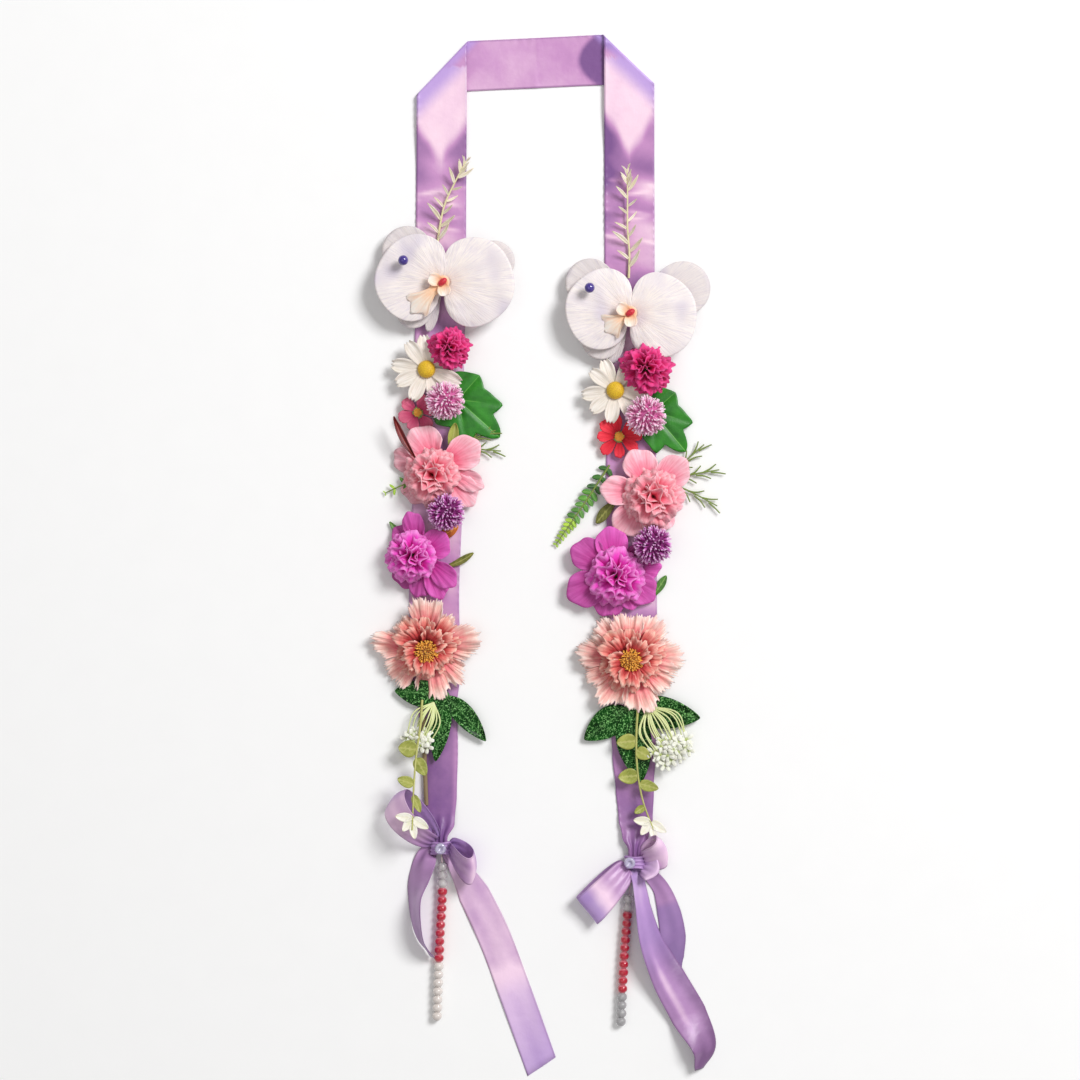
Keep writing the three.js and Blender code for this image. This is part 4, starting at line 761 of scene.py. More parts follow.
def foliage(name, body, deep, vein, rough=0.42, net=None, spread=0.12, shown=1.0, shine=0.5):
    """Moulded leaf. shown is how strongly its veins show, and net, if given, is the size in mm of the
    cells of a speckled net over it."""
    base = finish(
        name, Roughness=rough, IOR=1.5, Specular_IOR_Level=shine, Subsurface_Weight=0.05,
        Subsurface_Radius=(0.6, 1.0, 0.4), Subsurface_Scale=0.001)
    tree = base[1]
    where = add(tree, "ShaderNodeTexCoord").outputs["Object"]
    patch = add(tree, NOISE, {"Vector": where, "Scale": 130.0, "Detail": 4.0})  # 8 mm patches
    ground = add(tree, "ShaderNodeValToRGB", {"Fac": patch}, stops={0.3: deep, 0.68: body})
    height = near = add(tree, RANGE, {
        "Value": add(tree, "ShaderNodeAttribute", attribute_name="vein").outputs["Fac"],
        "From Min": VEIN_WIDE * 0.4, "From Max": VEIN_WIDE * 1.6, "To Min": shown, "To Max": 0.0})
    if net:
        cells = add(tree, "ShaderNodeTexVoronoi", {
            "Vector": where, "Scale": 1000 / net}, feature="DISTANCE_TO_EDGE")
        lace = add(tree, RANGE, {
            "Value": cells, "From Min": 0.03, "From Max": 0.13, "To Min": 1.0, "To Max": 0.0})
        thin = add(tree, RANGE, {  # the net is broken up into short speckles
            "Value": add(tree, NOISE, {"Vector": where, "Scale": 700.0, "Detail": 1.0}),
            "From Min": 0.49, "From Max": 0.61, "To Max": 0.9})
        speckles = add(tree, MATH, [lace, thin], operation="MULTIPLY")
        near = add(tree, MATH, [near, speckles], operation="MAXIMUM")
    mixed = add(tree, "ShaderNodeMix", {
        "Factor": near, "A": ground.outputs["Color"], "B": colour(vein)}, data_type="RGBA")
    grain = add(tree, NOISE, {"Vector": where, "Scale": 900.0, "Detail": 2.0})  # 1 mm pits
    relief = add(tree, MATH, [height, -0.8, grain], operation="MULTIPLY_ADD")
    return surfaced(base, toned(tree, mixed.outputs[2], spread), relief, 0.35, 0.0004)


LEAF = {
    "ivy": foliage("ivy_plastic", "#2f8c1c", "#1c6c14", "#6cb84c"),
    "mottled": foliage("mottled_leaf_plastic", "#0e4810", "#052206", "#94d880", net=1.3, rough=0.3, shown=0.2,
                       shine=0.12),
    "green": foliage("green_leaf_plastic", "#568c34", "#386a22", "#7ca850"),
    "olive": foliage("olive_leaf_plastic", "#7c7c30", "#585c20", "#9c9c50"),
    "rust": foliage("rust_leaf_plastic", "#d87c24", "#a04c14", "#e89c48"),
    "wine": foliage("wine_leaf_plastic", "#7c1418", "#4c0810", "#9c3028"),
    "fern": foliage("lime_fern_plastic", "#b0d440", "#84b02c", "#c4e060", spread=0.2, shown=0.5),
    "dark_fern": foliage("dark_fern_plastic", "#3c7428", "#1c4818", "#548c3c", spread=0.25, shown=0.5),
    "mid_fern": foliage("green_fern_plastic", "#64a03c", "#3c7c28", "#84b858", spread=0.25, shown=0.5),
    "vine": foliage("vine_leaf_plastic", "#b0b458", "#848c34", "#ccc880", shown=0.5),
    "sprig": foliage("straw_leaf_plastic", "#faf2e4", "#e4d6b8", "#e4d8b4", rough=0.55),
    "bud": foliage("cream_bud_plastic", "#faf7ee", "#e8e4cc", "#e8e4c4", rough=0.55, shown=0.5),
    "twig": foliage("olive_twig_plastic", "#5c7430", "#3c4c1c", "#7c9044"),
    "ray": foliage("pale_green_stem_plastic", "#d0dc90", "#a4b85c", "#dce4a4"),
    "straw": foliage("straw_stem_plastic", "#d4c88c", "#b4a464", "#e0d8a8"),
    "brown": foliage("brown_stem_plastic", "#6a5640", "#46341e", "#8c7858"),
    "calyx": foliage("calyx_plastic", "#6c9c48", "#447030", "#90b868"),
}
print(len(LEAF), "leaf finishes")

# %% [markdown]
# ## Beads, eyes and pearls
# The beads are moulded acrylic, clear or dyed red through, and plastic pearls with a milky coat of lacquer
# over them. The eyes of the flowers are flocked plastic buttons: a fine powdery grain over a strong yellow.
# Clear beads look grey where they show the table, so only part of their light passes through.

# %% Bead, pearl and eye finishes
def glassy(name, code, clear=0.9, rough=0.06, coat=0.8, cloud="#ffffff", rim=None):
    """Moulded acrylic, IOR 1.49, dyed through, with a faint cloudiness inside. rim is the paler colour of
    the light that gathers round a bead's ends, where u nears 0 and 1."""
    base = finish(
        name, Roughness=rough, IOR=1.49, Transmission_Weight=clear, Coat_Weight=coat, Coat_Roughness=0.05)
    tree = base[1]
    where = add(tree, "ShaderNodeTexCoord").outputs["Object"]
    haze = add(tree, NOISE, {"Vector": where, "Scale": 420.0, "Detail": 2.0})  # 2.4 mm wisps
    share = add(tree, RANGE, {"Value": haze, "From Min": 0.45, "From Max": 0.8, "To Max": 0.5})
    mixed = add(tree, "ShaderNodeMix", {
        "Factor": share, "A": colour(code), "B": colour(cloud)}, data_type="RGBA")
    if rim:
        uv = add(tree, "ShaderNodeUVMap", uv_map="UVMap")
        along = add(tree, "ShaderNodeSeparateXYZ", {"Vector": uv}).outputs["X"]
        off = add(tree, MATH, [add(tree, MATH, [along, 0.5], operation="SUBTRACT")], operation="ABSOLUTE")
        ends = add(tree, RANGE, {"Value": off, "From Min": 0.24, "From Max": 0.36, "To Max": 0.75})
        mixed = add(tree, "ShaderNodeMix", {
            "Factor": ends, "A": mixed.outputs[2], "B": colour(rim)}, data_type="RGBA")
    scuffs = add(tree, NOISE, {"Vector": where, "Scale": 1600.0, "Detail": 2.0})
    return surfaced(base, mixed.outputs[2], scuffs, 0.06, 0.0002)


def flocked(name, body, deep, rough=0.6):
    """A button covered in fine dyed powder, whose grain is drawn 0.6 mm coarse, so that it shows."""
    base = finish(name, Roughness=rough, IOR=1.5, Sheen_Weight=0.2)
    tree = base[1]
    where = add(tree, "ShaderNodeTexCoord").outputs["Object"]
    grain = add(tree, NOISE, {"Vector": where, "Scale": 1000 / 0.6, "Detail": 2.0})
    dye = add(tree, "ShaderNodeValToRGB", {"Fac": grain}, stops={0.35: deep, 0.62: body})
    return surfaced(base, dye.outputs["Color"], grain, 0.5, 0.0003)


CLEAR = glassy("clear_acrylic", "#f6f2f0", clear=0.55)
GREY = glassy("smoky_acrylic", "#c4c2c4", clear=0.45, cloud="#e4e2e4")
RED = glassy("red_acrylic", "#d80c34", clear=0.4, coat=1.0, cloud="#f4506c", rim="#ff94a4")
PEARL = glassy("pearl_lacquer", "#e4dad4", clear=0.12, rough=0.22, coat=1.0, cloud="#fbf4ee")
PURPLE_PEARL = glassy("purple_pearl_lacquer", "#3c2884", clear=0.0, rough=0.2, coat=1.0, cloud="#6454b0")
SILVER_RING = glassy("silver_lilac_acrylic", "#cfc6e6", clear=0.35, rough=0.12)
RED_COAT = flocked("red_flock", "#e0283c", "#a80c20", rough=0.45)
YELLOW_EYE = flocked("yellow_flock", "#ecc820", "#c89408")
AMBER_EYE = flocked("amber_flock", "#ffcc58", "#f8a630")
print("the beads' finishes:", CLEAR.name, RED.name, PEARL.name, GREY.name)

# %% [markdown]
# ## Satin ribbon
# Satin floats its warp threads over four or more weft threads, so the face is a field of long parallel
# fibres. It shines in a broad streak across the threads and looks darker where it turns away. The long
# ribbon and the bows are cut from polyester satin, 38 and 25 mm wide, with a woven selvage along each edge.
# Its sheen comes from an anisotropic gloss along the threads. The rest of its light and shade is painted into
# its colour from two attributes: the painted light and shade, and a painted cool reflection near the folds.

# %% Satin finish
BAND_W, BOW_W = 38, 25  # the widths of the two ribbons, in millimetres
SELVAGE, SELVAGE_BLUR = 1.3, 0.3
THREAD_PITCH = 0.5  # warp threads, drawn this coarse so that they show


def satin(name, wide, body, shade, light, violet):
    """Lilac satin for a ribbon that is wide mm across. The UV map runs along it in u and across in v, and
    the attributes carry the painted light and shade on it and the painted cool reflection near its folds."""
    base = finish(
        name, Roughness=0.36, IOR=1.5, Specular_IOR_Level=0.5, Sheen_Weight=0.1, Sheen_Roughness=0.35,
        Anisotropic=0.5, Sheen_Tint=(1.0, 0.85, 0.97, 1.0))
    tree = base[1]
    uv = add(tree, "ShaderNodeUVMap", uv_map="UVMap")
    across = add(tree, "ShaderNodeSeparateXYZ", {"Vector": uv}).outputs["Y"]
    where = add(tree, "ShaderNodeTexCoord").outputs["Object"]
    lustre = add(tree, "ShaderNodeAttribute", attribute_name="lustre").outputs["Fac"]
    # painted light and shade: the lustre attribute, broken up by 20 mm clouds, runs the dye from the painted
    # shade colour through the body colour to the painted light colour
    cloud = add(tree, NOISE, {  # 20 mm clouds
        "Vector": where, "Scale": 50.0, "Detail": 4.0, "Roughness": 0.6})
    amount = add(tree, MATH, [
        add(tree, MATH, [cloud, 0.5], operation="SUBTRACT"), 0.7, lustre],
        operation="MULTIPLY_ADD")
    lit = add(tree, MATH, [amount, 0.5, 0.5], operation="MULTIPLY_ADD")
    dye = add(tree, "ShaderNodeValToRGB", {"Fac": lit}, stops={0: shade, 0.5: body, 1: light})
    # a painted cool reflection, mixed in near the folds
    ironed = add(tree, "ShaderNodeMix", {
        "Factor": add(tree, "ShaderNodeAttribute", attribute_name="ironed").outputs["Fac"],
        "A": dye.outputs["Color"], "B": colour(violet)}, data_type="RGBA")
    edge = add(tree, MATH, [add(tree, MATH, [across, 0.5], operation="SUBTRACT")], operation="ABSOLUTE")
    selvage = add(tree, RANGE, {
        "Value": edge, "From Min": 0.5 - (SELVAGE + SELVAGE_BLUR) / wide,
        "From Max": 0.5 - (SELVAGE - SELVAGE_BLUR) / wide, "To Max": 0.3})
    trimmed = add(tree, "ShaderNodeMix", {
        "Factor": selvage, "A": ironed.outputs[2], "B": colour(shade)}, data_type="RGBA")
    weave = add(tree, "ShaderNodeMapping", {"Vector": uv, "Scale": (30, wide / THREAD_PITCH, 1)})
    threads = add(tree, NOISE, {"Vector": weave, "Scale": 1.0, "Detail": 1.0})
    crush = add(tree, NOISE, {"Vector": where, "Scale": 160.0, "Detail": 3.0})  # 6 mm dents
    height = add(tree, MATH, [threads, 0.06, crush], operation="MULTIPLY_ADD")
    return surfaced(base, trimmed.outputs[2], height, 0.25, 0.0012)


# each satin: its body colour, then its painted shade, painted light and painted cool reflection colours
BAND_SATIN = satin("lilac_satin_wide", BAND_W, "#c890c4", "#7e5490", "#fad8ea", "#b494dc")
BOW_SATIN = satin("lilac_satin_narrow", BOW_W, "#b88cbe", "#7a5682", "#f6d4ec", "#ae92d8")
print("satin in two widths:", BAND_W, "and", BOW_W, "mm")

# %% [markdown]
# ## The long ribbon
# It is one flat strip, folded over itself at two diagonals at the neck so that the strands hang straight,
# then gathered into pleats above each knot. Bending a strip round a thin cylinder laid across it keeps
# every length the same, as cloth does, so the fold is worked out that way, and the pleats take up exactly
# the width that the ribbon loses. The maths is the source's, drawn with far more rows.

# %% The fold
RIBBON_T, FOLD_R, KNOT_Z = 0.8, 1.3, 5.2  # the ribbon's thickness, the fold's radius, the knot's height
CORNERS = [np.array(s["corner"], float) for s in STRANDS]
NECK = CORNERS[1] - CORNERS[0]
NECK_LONG = np.linalg.norm(NECK)
AXES = [np.array((0.0, 1.0)), NECK / NECK_LONG, np.array((0.0, -1.0))]
LOW = RIBBON_T / 2
HIGH = LOW + 2 * FOLD_R
WRAP = math.pi * FOLD_R / 2


def ease(x, a, b):
    """0 at a, 1 at b, smooth between and level beyond."""
    w = np.clip((x - a) / (b - a), 0, 1)
    return w * w * (3 - 2 * w)


def read(table, d):
    """The smooth value at d of a table of (distance, value) rows."""
    for (d0, v0), (d1, v1) in zip(table, table[1:]):
        if d < d1:
            return v0 + (v1 - v0) * float(ease(d, d0, d1)) if d > d0 else v0
    return table[-1][1]


def crease_of(c):
    """The normal and the line of the fold at corner c, and how it leans across the band."""
    into, out = AXES[c], AXES[c + 1]
    normal = (into - out) / np.linalg.norm(into - out)
    line = (into + out) / np.linalg.norm(into + out)
    aside = np.array((-into[1], into[0]))
    return into, normal, line, aside, -float(aside @ normal) / float(into @ normal)


def folded(c, s, t):
    """A point of the flat band, s along it from corner c and t across, after the fold."""
    into, normal, line, aside, _ = crease_of(c)
    flat = into * s + aside * t
    u, v = float(flat @ normal), float(flat @ line)
    turn = min(max((u + WRAP) / FOLD_R, 0), math.pi)
    h = -WRAP + FOLD_R * math.sin(turn) if abs(u) < WRAP else -abs(u)
    z0, z1 = (HIGH, LOW) if c == 0 else (LOW, HIGH)
    p = CORNERS[c] + line * v + normal * h
    return np.array((p[0], p[1], (z0 + z1) / 2 + (z0 - z1) / 2 * math.cos(turn)))


print("the neck is", round(float(NECK_LONG), 1), "mm from fold to fold")

# %% The drift and the gather
SETTLES = (32, 80)  # how far below the neck a strand comes down from the height of its fold
RISES = (45, 4)  # how far above the knot it climbs again, from where to where
PLEATS = 3
CRIMP_PITCH = 6.4  # from one small wave of the edge to the next


def ripple(s, t, seed):
    """How a loose ribbon lies: long low waves that run across it at a slant."""
    return (math.sin(s / 11 + t / 16 + seed) * 0.5 + math.sin(s / 23 - t / 9 + 2 * seed) * 0.5) * 0.5


def band_point(strand, s, t):
    """A point of the long ribbon as it lies, pleats and waves included."""
    c = STRANDS.index(strand)
    down = -s if c == 0 else s
    knot_down = strand["corner"][1] - strand["knot"][1]
    above = knot_down - down
    width = read(strand["gather"], above)
    p = folded(c, s, t * width / BAND_W)
    p[0] += read(strand["drift"], down)
    p[2] -= (HIGH - LOW) * float(ease(down, *SETTLES))
    p[2] += (KNOT_Z - LOW) * float(ease(down, knot_down - RISES[0], knot_down - RISES[1]))
    spare = math.sqrt(max(BAND_W ** 2 - width ** 2, 0))
    pleat = min(spare / 7, 0.15 + 2.35 * float(ease(above, 30, 3))) * (1 - 0.35 * float(ease(above, 12, 0)))
    bend = 0.9 * math.sin(down / 37)
    p[2] += pleat * (0.5 - 0.5 * math.cos(2 * math.pi * (PLEATS * (t / BAND_W + 0.5) + 0.15 * bend)))
    away = float(ease(abs(down) if down > 0 else NECK_LONG / 2, 0, 60))
    p[2] += max(0.0, 0.28 + 0.5 * ripple(s, t, 3 * c)) * (0.35 + 0.65 * away)
    crimp = abs(2 * t / BAND_W) ** 10 * (0.55 + 0.45 * math.sin(down / 19 + c + (t > 0)))  # only at the edges
    wave = 2 * math.pi * down / CRIMP_PITCH + 1.5 * math.sin(down / 23) + 2 * (t > 0)
    p[2] += 0.55 * crimp * (1 + math.sin(wave))
    return p


print("the left ribbon is", read(LEFT["gather"], 0), "mm wide at its knot")

# %% The light on the satin
# painted highlights where sharp creases cross each strand; the mesh has no crease there
CREASE_HIGHLIGHTS = (94, 103, 116, 122, 137)  # how far below the neck sharp creases cross each strand


def light_on(strand, s, t):
    """The painted light and shade at a place of the band, from -1 in its shade to 1 in its light, and how
    near the place is to the fold, from 0 to 1, which sets its painted cool reflection."""
    c = STRANDS.index(strand)
    down = -s if c == 0 else s
    into, normal, _, aside, _ = crease_of(c)
    off = abs(s * float(into @ normal) + t * float(aside @ normal))  # how far from the fold
    fold = 1 - float(ease(off, 3, 9) if down < 0 else ease(off, 5, 19))
    slant = ripple(s * 0.45, t * 0.8, 5 + c)
    reach = abs(2 * t / BAND_W)
    if down < 0:  # the neck, with a rounded shade before its right end
        starts = -41 + 13 * reach ** 2
        shade = float(ease(down, starts, starts + 6)) * (1 - float(ease(down, -10, -3)))
        return 0.16 + 0.35 * slant - (1.1 * shade if c else 0.0), 0.75 * fold
    edge = 66 - 26 * reach + 2 * math.sin(t / 5 + 2 * c) + 1.2 * math.sin(t / 2.1)
    pale = 1 - float(ease(down, edge - 4, edge + 13))  # the bright triangle below the fold
    # painted light and shade down the strand from the shine table, varied by painted bands across it
    light_bands = math.sin(down / 5.5 + t / 22) * math.sin(down / 27 + c) * math.cos(t / 13 + c)
    lower = read(strand["shine"], down) + 0.4 * slant + 0.6 * light_bands * (1 - float(ease(down, 420, 480)))
    # a painted lighter patch low on the left strand, and painted shade towards one edge of the right strand
    # down to 150-180 mm below the neck
    lower += 0.45 * float(ease(down, 440, 500)) * float(ease(-t, 12, 18)) * (c == 0)
    lower += -0.022 * t * c * (1 - float(ease(down, 150, 180)))
    # painted highlights along the sharp creases
    for n, at in enumerate(CREASE_HIGHLIGHTS):
        gap = (down - at - t / 7 * (-1) ** (n + c)) / 1.5
        lower += 0.75 * math.exp(-gap ** 2) * (0.5 + 0.5 * math.sin(t / 5 + at))
    # painted shade towards the edges, down to 84-98 mm below the neck
    below = -0.55 * (1 - float(ease(down, 84, 98))) * reach
    return pale * (0.92 + 0.2 * slant) + (1 - pale) * (lower + below), 0.85 * fold


print(len(CREASE_HIGHLIGHTS), "sharp creases on each strand")

# %% The ribbon's mesh
ROW_PITCH = 1.6  # along the strands, in millimetres
BENT_FROM = 52  # below here the rows lie straight across
PAST_KNOT = 4.5  # how far the ribbon runs into the knot


def long_ribbon():
    """The rows of the whole ribbon from one knot to the other, with the light on each point."""
    rows, light = [], []
    for c, strand in enumerate(STRANDS):
        into, normal, _, _, lean = crease_of(c)
        reach = 1.6 * WRAP / float(into @ normal)
        end = strand["corner"][1] - strand["knot"][1] + PAST_KNOT
        outer = -1 if c == 0 else 1  # which way s runs out along the strand
        far = np.arange(end, BENT_FROM, -ROW_PITCH)
        near = np.linspace(BENT_FROM, reach, 26)
        fold = np.linspace(reach, -reach, 25)[1:]
        inner = np.linspace(-reach, -NECK_LONG / 2, 40)[1:]
        across = np.linspace(BAND_W / 2, -BAND_W / 2, 25) * -outer
        made, shine = [], []
        for d in np.concatenate([far, near, fold, inner]):
            square = ease(d, BENT_FROM, reach + 4) if d > 0 else ease(d, -NECK_LONG / 2, -reach - 4)
            slant = lean * float(square)
            places = [(d * outer + slant * t, t) for t in across]
            made.append([band_point(strand, s, t) for s, t in places])
            shine.append([light_on(strand, s, t) for s, t in places])
        if c:
            made, shine = made[::-1][1:], shine[::-1][1:]
        rows += made
        light += shine
    return np.array(rows), np.array(light)


rows, light = long_ribbon()
# lustre is the painted light and shade, the other attribute the painted cool reflection
ribbon = sheet("long_ribbon", rows, 0.35, {"lustre": light[:, :, 0], "ironed": light[:, :, 1]})
hand_over(ribbon, TO_FRAME, "satin_ribbon", "ribbon_band", dyed=BAND_SATIN)

# %% [markdown]
# ## The bows
# Each bow is one shorter ribbon, tied over the gathered end: two loops, two tails and a tight turn round
# the middle. The loops open out from pleats pinched at the knot, so a row of the loop is narrow at the
# root and full at the tip, and the pleats die away along it.

# %% A ribbon through rows
COLUMNS = 21  # points across a bow ribbon
LOWEST = 0.25  # no ribbon lies lower than this above the table, in millimetres


def flowing(stations, name, pleats, seed, glow):
    """A ribbon through rows of (point, way across, width, pinch from 0 to 1, how its edges swing back),
    and its length. glow gives its painted light, in rows of (share of its length, painted light, painted
    cool reflection, painted streak of highlight)."""
    cols = np.linspace(-0.5, 0.5, COLUMNS)
    centre = np.array([s[0] for s in stations])
    heading = np.gradient(centre, axis=0)
    grid, light, cool = [], [], []
    for n, (at, across, width, pinch, bulge) in enumerate(stations):
        normal = np.cross(heading[n], across)
        normal /= max(np.linalg.norm(normal), 1e-9)
        share = n / (len(stations) - 1)
        bright, violet, streak = [
            np.interp(share, [g[0] for g in glow], [g[m] for g in glow]) for m in (1, 2, 3)]
        row, shine = [], []
        for k in cols:
            fold = 0.9 * pinch * math.cos(2 * math.pi * pleats * k + seed)
            lie = 0.35 * math.sin(n * 0.33 + 5 * k + seed) * (1 - pinch)
            row.append(at + across * width * k + normal * (fold + lie) + bulge * 4 * k * k)
            # painted light that wanders along and across the ribbon
            sheen_wobble = 0.12 * math.sin(11 * k + 2 * math.sin(n * 0.07 + seed))
            sheen_wobble += 0.15 * math.sin(n * 0.17 + 3 * k + seed)
            # a painted streak of highlight along the ribbon, with painted shade beside it
            streak_highlight = streak * (1.2 * math.exp(-((k + 0.15) / 0.11) ** 2) - 0.6 * float(ease(k, 0.05, 0.45)))
            # painted light where the ribbon faces up, painted shade in the pinched pleats
            shine.append(bright + sheen_wobble * (1 - pinch) + streak_highlight + 0.3 * abs(normal[2]) - 0.2 - 0.3 * pinch)
        grid.append(row)
        light.append(shine)
        # the painted cool reflection
        cool.append([violet] * len(cols))
    grid = np.array(grid)
    grid[:, :, 2] = np.maximum(grid[:, :, 2], LOWEST)
    long = float(np.linalg.norm(np.diff(centre, axis=0), axis=1).sum())
    return sheet(name, grid, 0.4, {"lustre": np.array(light), "ironed": np.array(cool)}), long


def above_table(at, across, width):
    """Lifts a row's middle so that its lower edge doesn't sink into the table."""
    at[2] = max(at[2], (abs(across[2]) * width + RIBBON_T) / 2)
    return at


print("a bow's ribbon has", COLUMNS, "points across")

# %% Loops, tails and the turn round the knot
ROOT_OUT = 7.2  # how far from the knot's middle a loop starts
PINCHED = 6.4  # the width of a loop at its root
TURN_WIDE, TURN_HIGH, TURN_DEEP = 7.5, 4.2, 9.5  # half its width, half its height, and its own width


def loop_rows(knot, tip, heading, height, roll, climb, rounded, full, steps=56):
    """A bow loop from the knot out to its tip and back, as the source bends it, full mm wide at its tip."""
    a0, turn = math.radians(heading), math.radians(-roll)
    out = np.array((math.cos(a0), math.sin(a0), 0.0))
    bulge = np.array(Matrix.Rotation(turn, 3, Vector(out)) @ Vector((0, 0, 1)))
    across = np.cross(out, bulge)
    root = np.array((*knot, KNOT_Z)) + out * ROOT_OUT
    reach = np.array((*tip, KNOT_Z + climb)) - root
    stations = []
    for n in range(steps + 1):
        a = 2 * math.pi * n / steps
        wide = max(math.sin(a / 2), 0)
        swell = height * (0.7 if a < math.pi else 0.3) * math.sin(a) * wide ** 0.5
        at = root + reach * (1 - math.cos(a)) / 2 + bulge * (swell + 1.3 * math.cos(a / 2))
        width = PINCHED + (full - PINCHED) * wide ** 0.42
        at = above_table(at, across, width)
        stations.append((at, across, width, (1 - wide) ** 1.5, -out * rounded * wide ** 3))
    return stations


def tail_rows(points, cut, steps=60):
    """A bow tail along its points, which also hold its roll and its width. cut is the slant of its end."""
    line = through(points, steps)
    heading = np.gradient(line[:, :3], axis=0)
    stations = []
    for n in range(steps + 1):
        w = n / steps * (len(points) - 1)
        k = min(int(w), len(points) - 2)
        roll, width = [points[k][m] * (1 - w + k) + points[k + 1][m] * (w - k) for m in (3, 4)]
        ahead = Vector(heading[n]).normalized()
        flat = Vector((-ahead.y, ahead.x, 0)).normalized()
        across = np.array(Matrix.Rotation(math.radians(roll), 3, ahead) @ flat)
        at = above_table(line[n, :3].copy(), across, width)
        slant = across + np.array(ahead) * cut * float(ease(n, steps - 12, steps))
        stations.append((at, slant, width, float(ease(n, 12, 0)) * 0.8, np.zeros(3)))
    return stations


def knot_rows(knot, steps=40):
    """The turn of ribbon round the middle of the bow, pleated along its length."""
    stations = []
    for n in range(steps + 1):
        a = 2 * math.pi * n / steps
        at = np.array((knot[0] + TURN_WIDE * math.cos(a), knot[1], KNOT_Z + TURN_HIGH * math.sin(a)))
        width = TURN_DEEP + 0.8 * math.sin(3 * a)
        stations.append((at, np.array((0.0, 1.0, 0.0)), width, 0.55, np.zeros(3)))
    return stations


print("the turn round a knot is", 2 * TURN_WIDE, "mm across")

# %% The two bows
FRONT_CUT = -0.26  # the slant of each bow's first tail, whose end is cut askew
# an even painted cool reflection on the turn round the knot
TURN_GLOW = [(0, 0, 0.3, 0), (1, 0, 0.3, 0)]

for strand in STRANDS:
    side, knot = strand["side"], strand["knot"]
    made = [flowing(loop_rows(knot, *loop), "loop", 3.5, 1.7 * n, strand["glow"][n])
            for n, loop in enumerate(strand["loops"])]
    made += [flowing(tail_rows(tail, 0 if n else FRONT_CUT), "tail", 2.5, 2.2 * n, strand["glow"][n - 2])
             for n, tail in enumerate(strand["tails"])]
    made.append(flowing(knot_rows(knot), "turn", 3.5, 0.4, TURN_GLOW))
    bow = merged(f"bow_ribbon_{side}", [part for part, _ in made])
    hand_over(bow, TO_FRAME, "satin_ribbon", f"bow_{side}", dyed=BOW_SATIN)

# %% [markdown]
# ## Petals
# Two shapes make nearly every petal. A fan opens from a narrow claw, its rows being arcs round the root,
# so creases run out along it by themselves. A blade runs straight, its width set along its length, for
# leaves and the narrow petals of a daisy.

# %% Fans and blades
def mesh_of(rows, cols, start=0.0):
    """A grid's own coordinates: u from start at the root to 1 at the tip, v from -1 to 1 across."""
    return np.meshgrid(np.linspace(start, 1, rows), np.linspace(-1, 1, cols), indexing="ij")


def opening_of(half, length, widest):
    """How far a fan opens to each side, in degrees, to be half wide at the share widest of its length."""
    return math.degrees(math.atan2(half, length * widest))


def fan(name, length, opening, full, rim=None, rise=None, rows=9, cols=14, thick=0.35, claw=0.1, tone=0.0,
        shoulder=80):
    """A petal that opens by opening degrees to each side. full is how fast its shoulders fall away, rim(v)
    its edge as a share of the length, and rise(u, v) its height."""
    u, v = mesh_of(rows, cols, claw)
    edge = np.cos(np.radians(shoulder) * v) ** full * (rim(v) if rim else 1)
    r = length * u * (edge * ease(u, 0.2, 1) + (1 - ease(u, 0.2, 1)) * np.minimum(edge, 1))
    a = np.radians(opening) * v
    z = rise(u, v) if rise else 0 * u
    return sheet(name, np.stack([r * np.cos(a), r * np.sin(a), z], -1), thick, {"tone": tone + 0 * u})


def blade(name, length, half, width, rise=None, rows=10, cols=7, thick=0.4, veins=5.0, rim=None, bend=0.0):
    """A leaf whose half width is half * width(u). veins is the spacing of its side veins in mm, rim(v) how
    far its end sticks out and bend how far it swings aside, both as a share of the length."""
    u, v = mesh_of(rows, cols)
    x, y = length * u * (1 + (rim(v) if rim else 0) * u ** 4), half * np.maximum(width(u), 0.02) * v
    z = rise(u, v) if rise else 0 * u
    beside = (x - np.abs(y) * 1.1) % veins
    vein = np.minimum(np.abs(y), np.minimum(beside, veins - beside) * 0.75 + 0.12)
    return sheet(name, np.stack([x, y + bend * length * u * u, z], -1), thick, {"vein": vein})


def set_at(piece, heading, climb, reach=0.0, height=0.0):
    """Turns a petal made along X to its heading and lifts its end."""
    swing = Matrix.Rotation(math.radians(heading), 4, "Z")
    lift = Matrix.Rotation(-math.radians(climb), 4, "Y")
    piece.data.transform(swing @ Matrix.Translation((reach, 0, height)) @ lift)
    return piece


def crumple(u, v, seed, deep):
    """The uneven dents of handled cloth: a few waves that cross at odd angles and die away at the root."""
    return deep * u * (np.sin(11 * u + 7 * v + seed) * np.sin(9 * v - 5 * u + 2 * seed)
                       + 0.5 * np.sin(17 * v + 6 * u + 3 * seed))


def frill(seed, teeth, deep):
    """A rim of round lobes with a notch between each two."""
    return lambda v: (1 - deep * (1 - np.abs(np.sin(v * teeth * math.pi / 2 + seed)) ** 0.6)
                      - 0.3 * deep * np.sin(v * 17 + seed))


def round_of(radius, height, steps, first=0.1, last=3.04, u=0.5):
    """The profile of a ball or an egg, from near its foot to near its crown."""
    return [(radius * math.sin(a), -height * math.cos(a), u) for a in np.linspace(first, last, steps)]


def button_of(radius, height, steps):
    """The profile of a domed button."""
    return [(radius * math.cos(a), height * math.sin(a), 0.5) for a in np.linspace(-0.1, 1.45, steps)]


print("a petal 20 mm wide and 30 mm long opens", round(opening_of(10, 30, 0.62)), "degrees to each side")

# %% [markdown]
# ## Orchids
# A moth orchid: two broad petals lie over four smaller sepals, cut from one cloth and pressed over a mould.
# So each is a fan with fine waves across it and a slightly uneven rim.

# %% Orchid petals and sepals
WIDEST = 0.62  # where along a sepal or a skirt petal its half width is measured


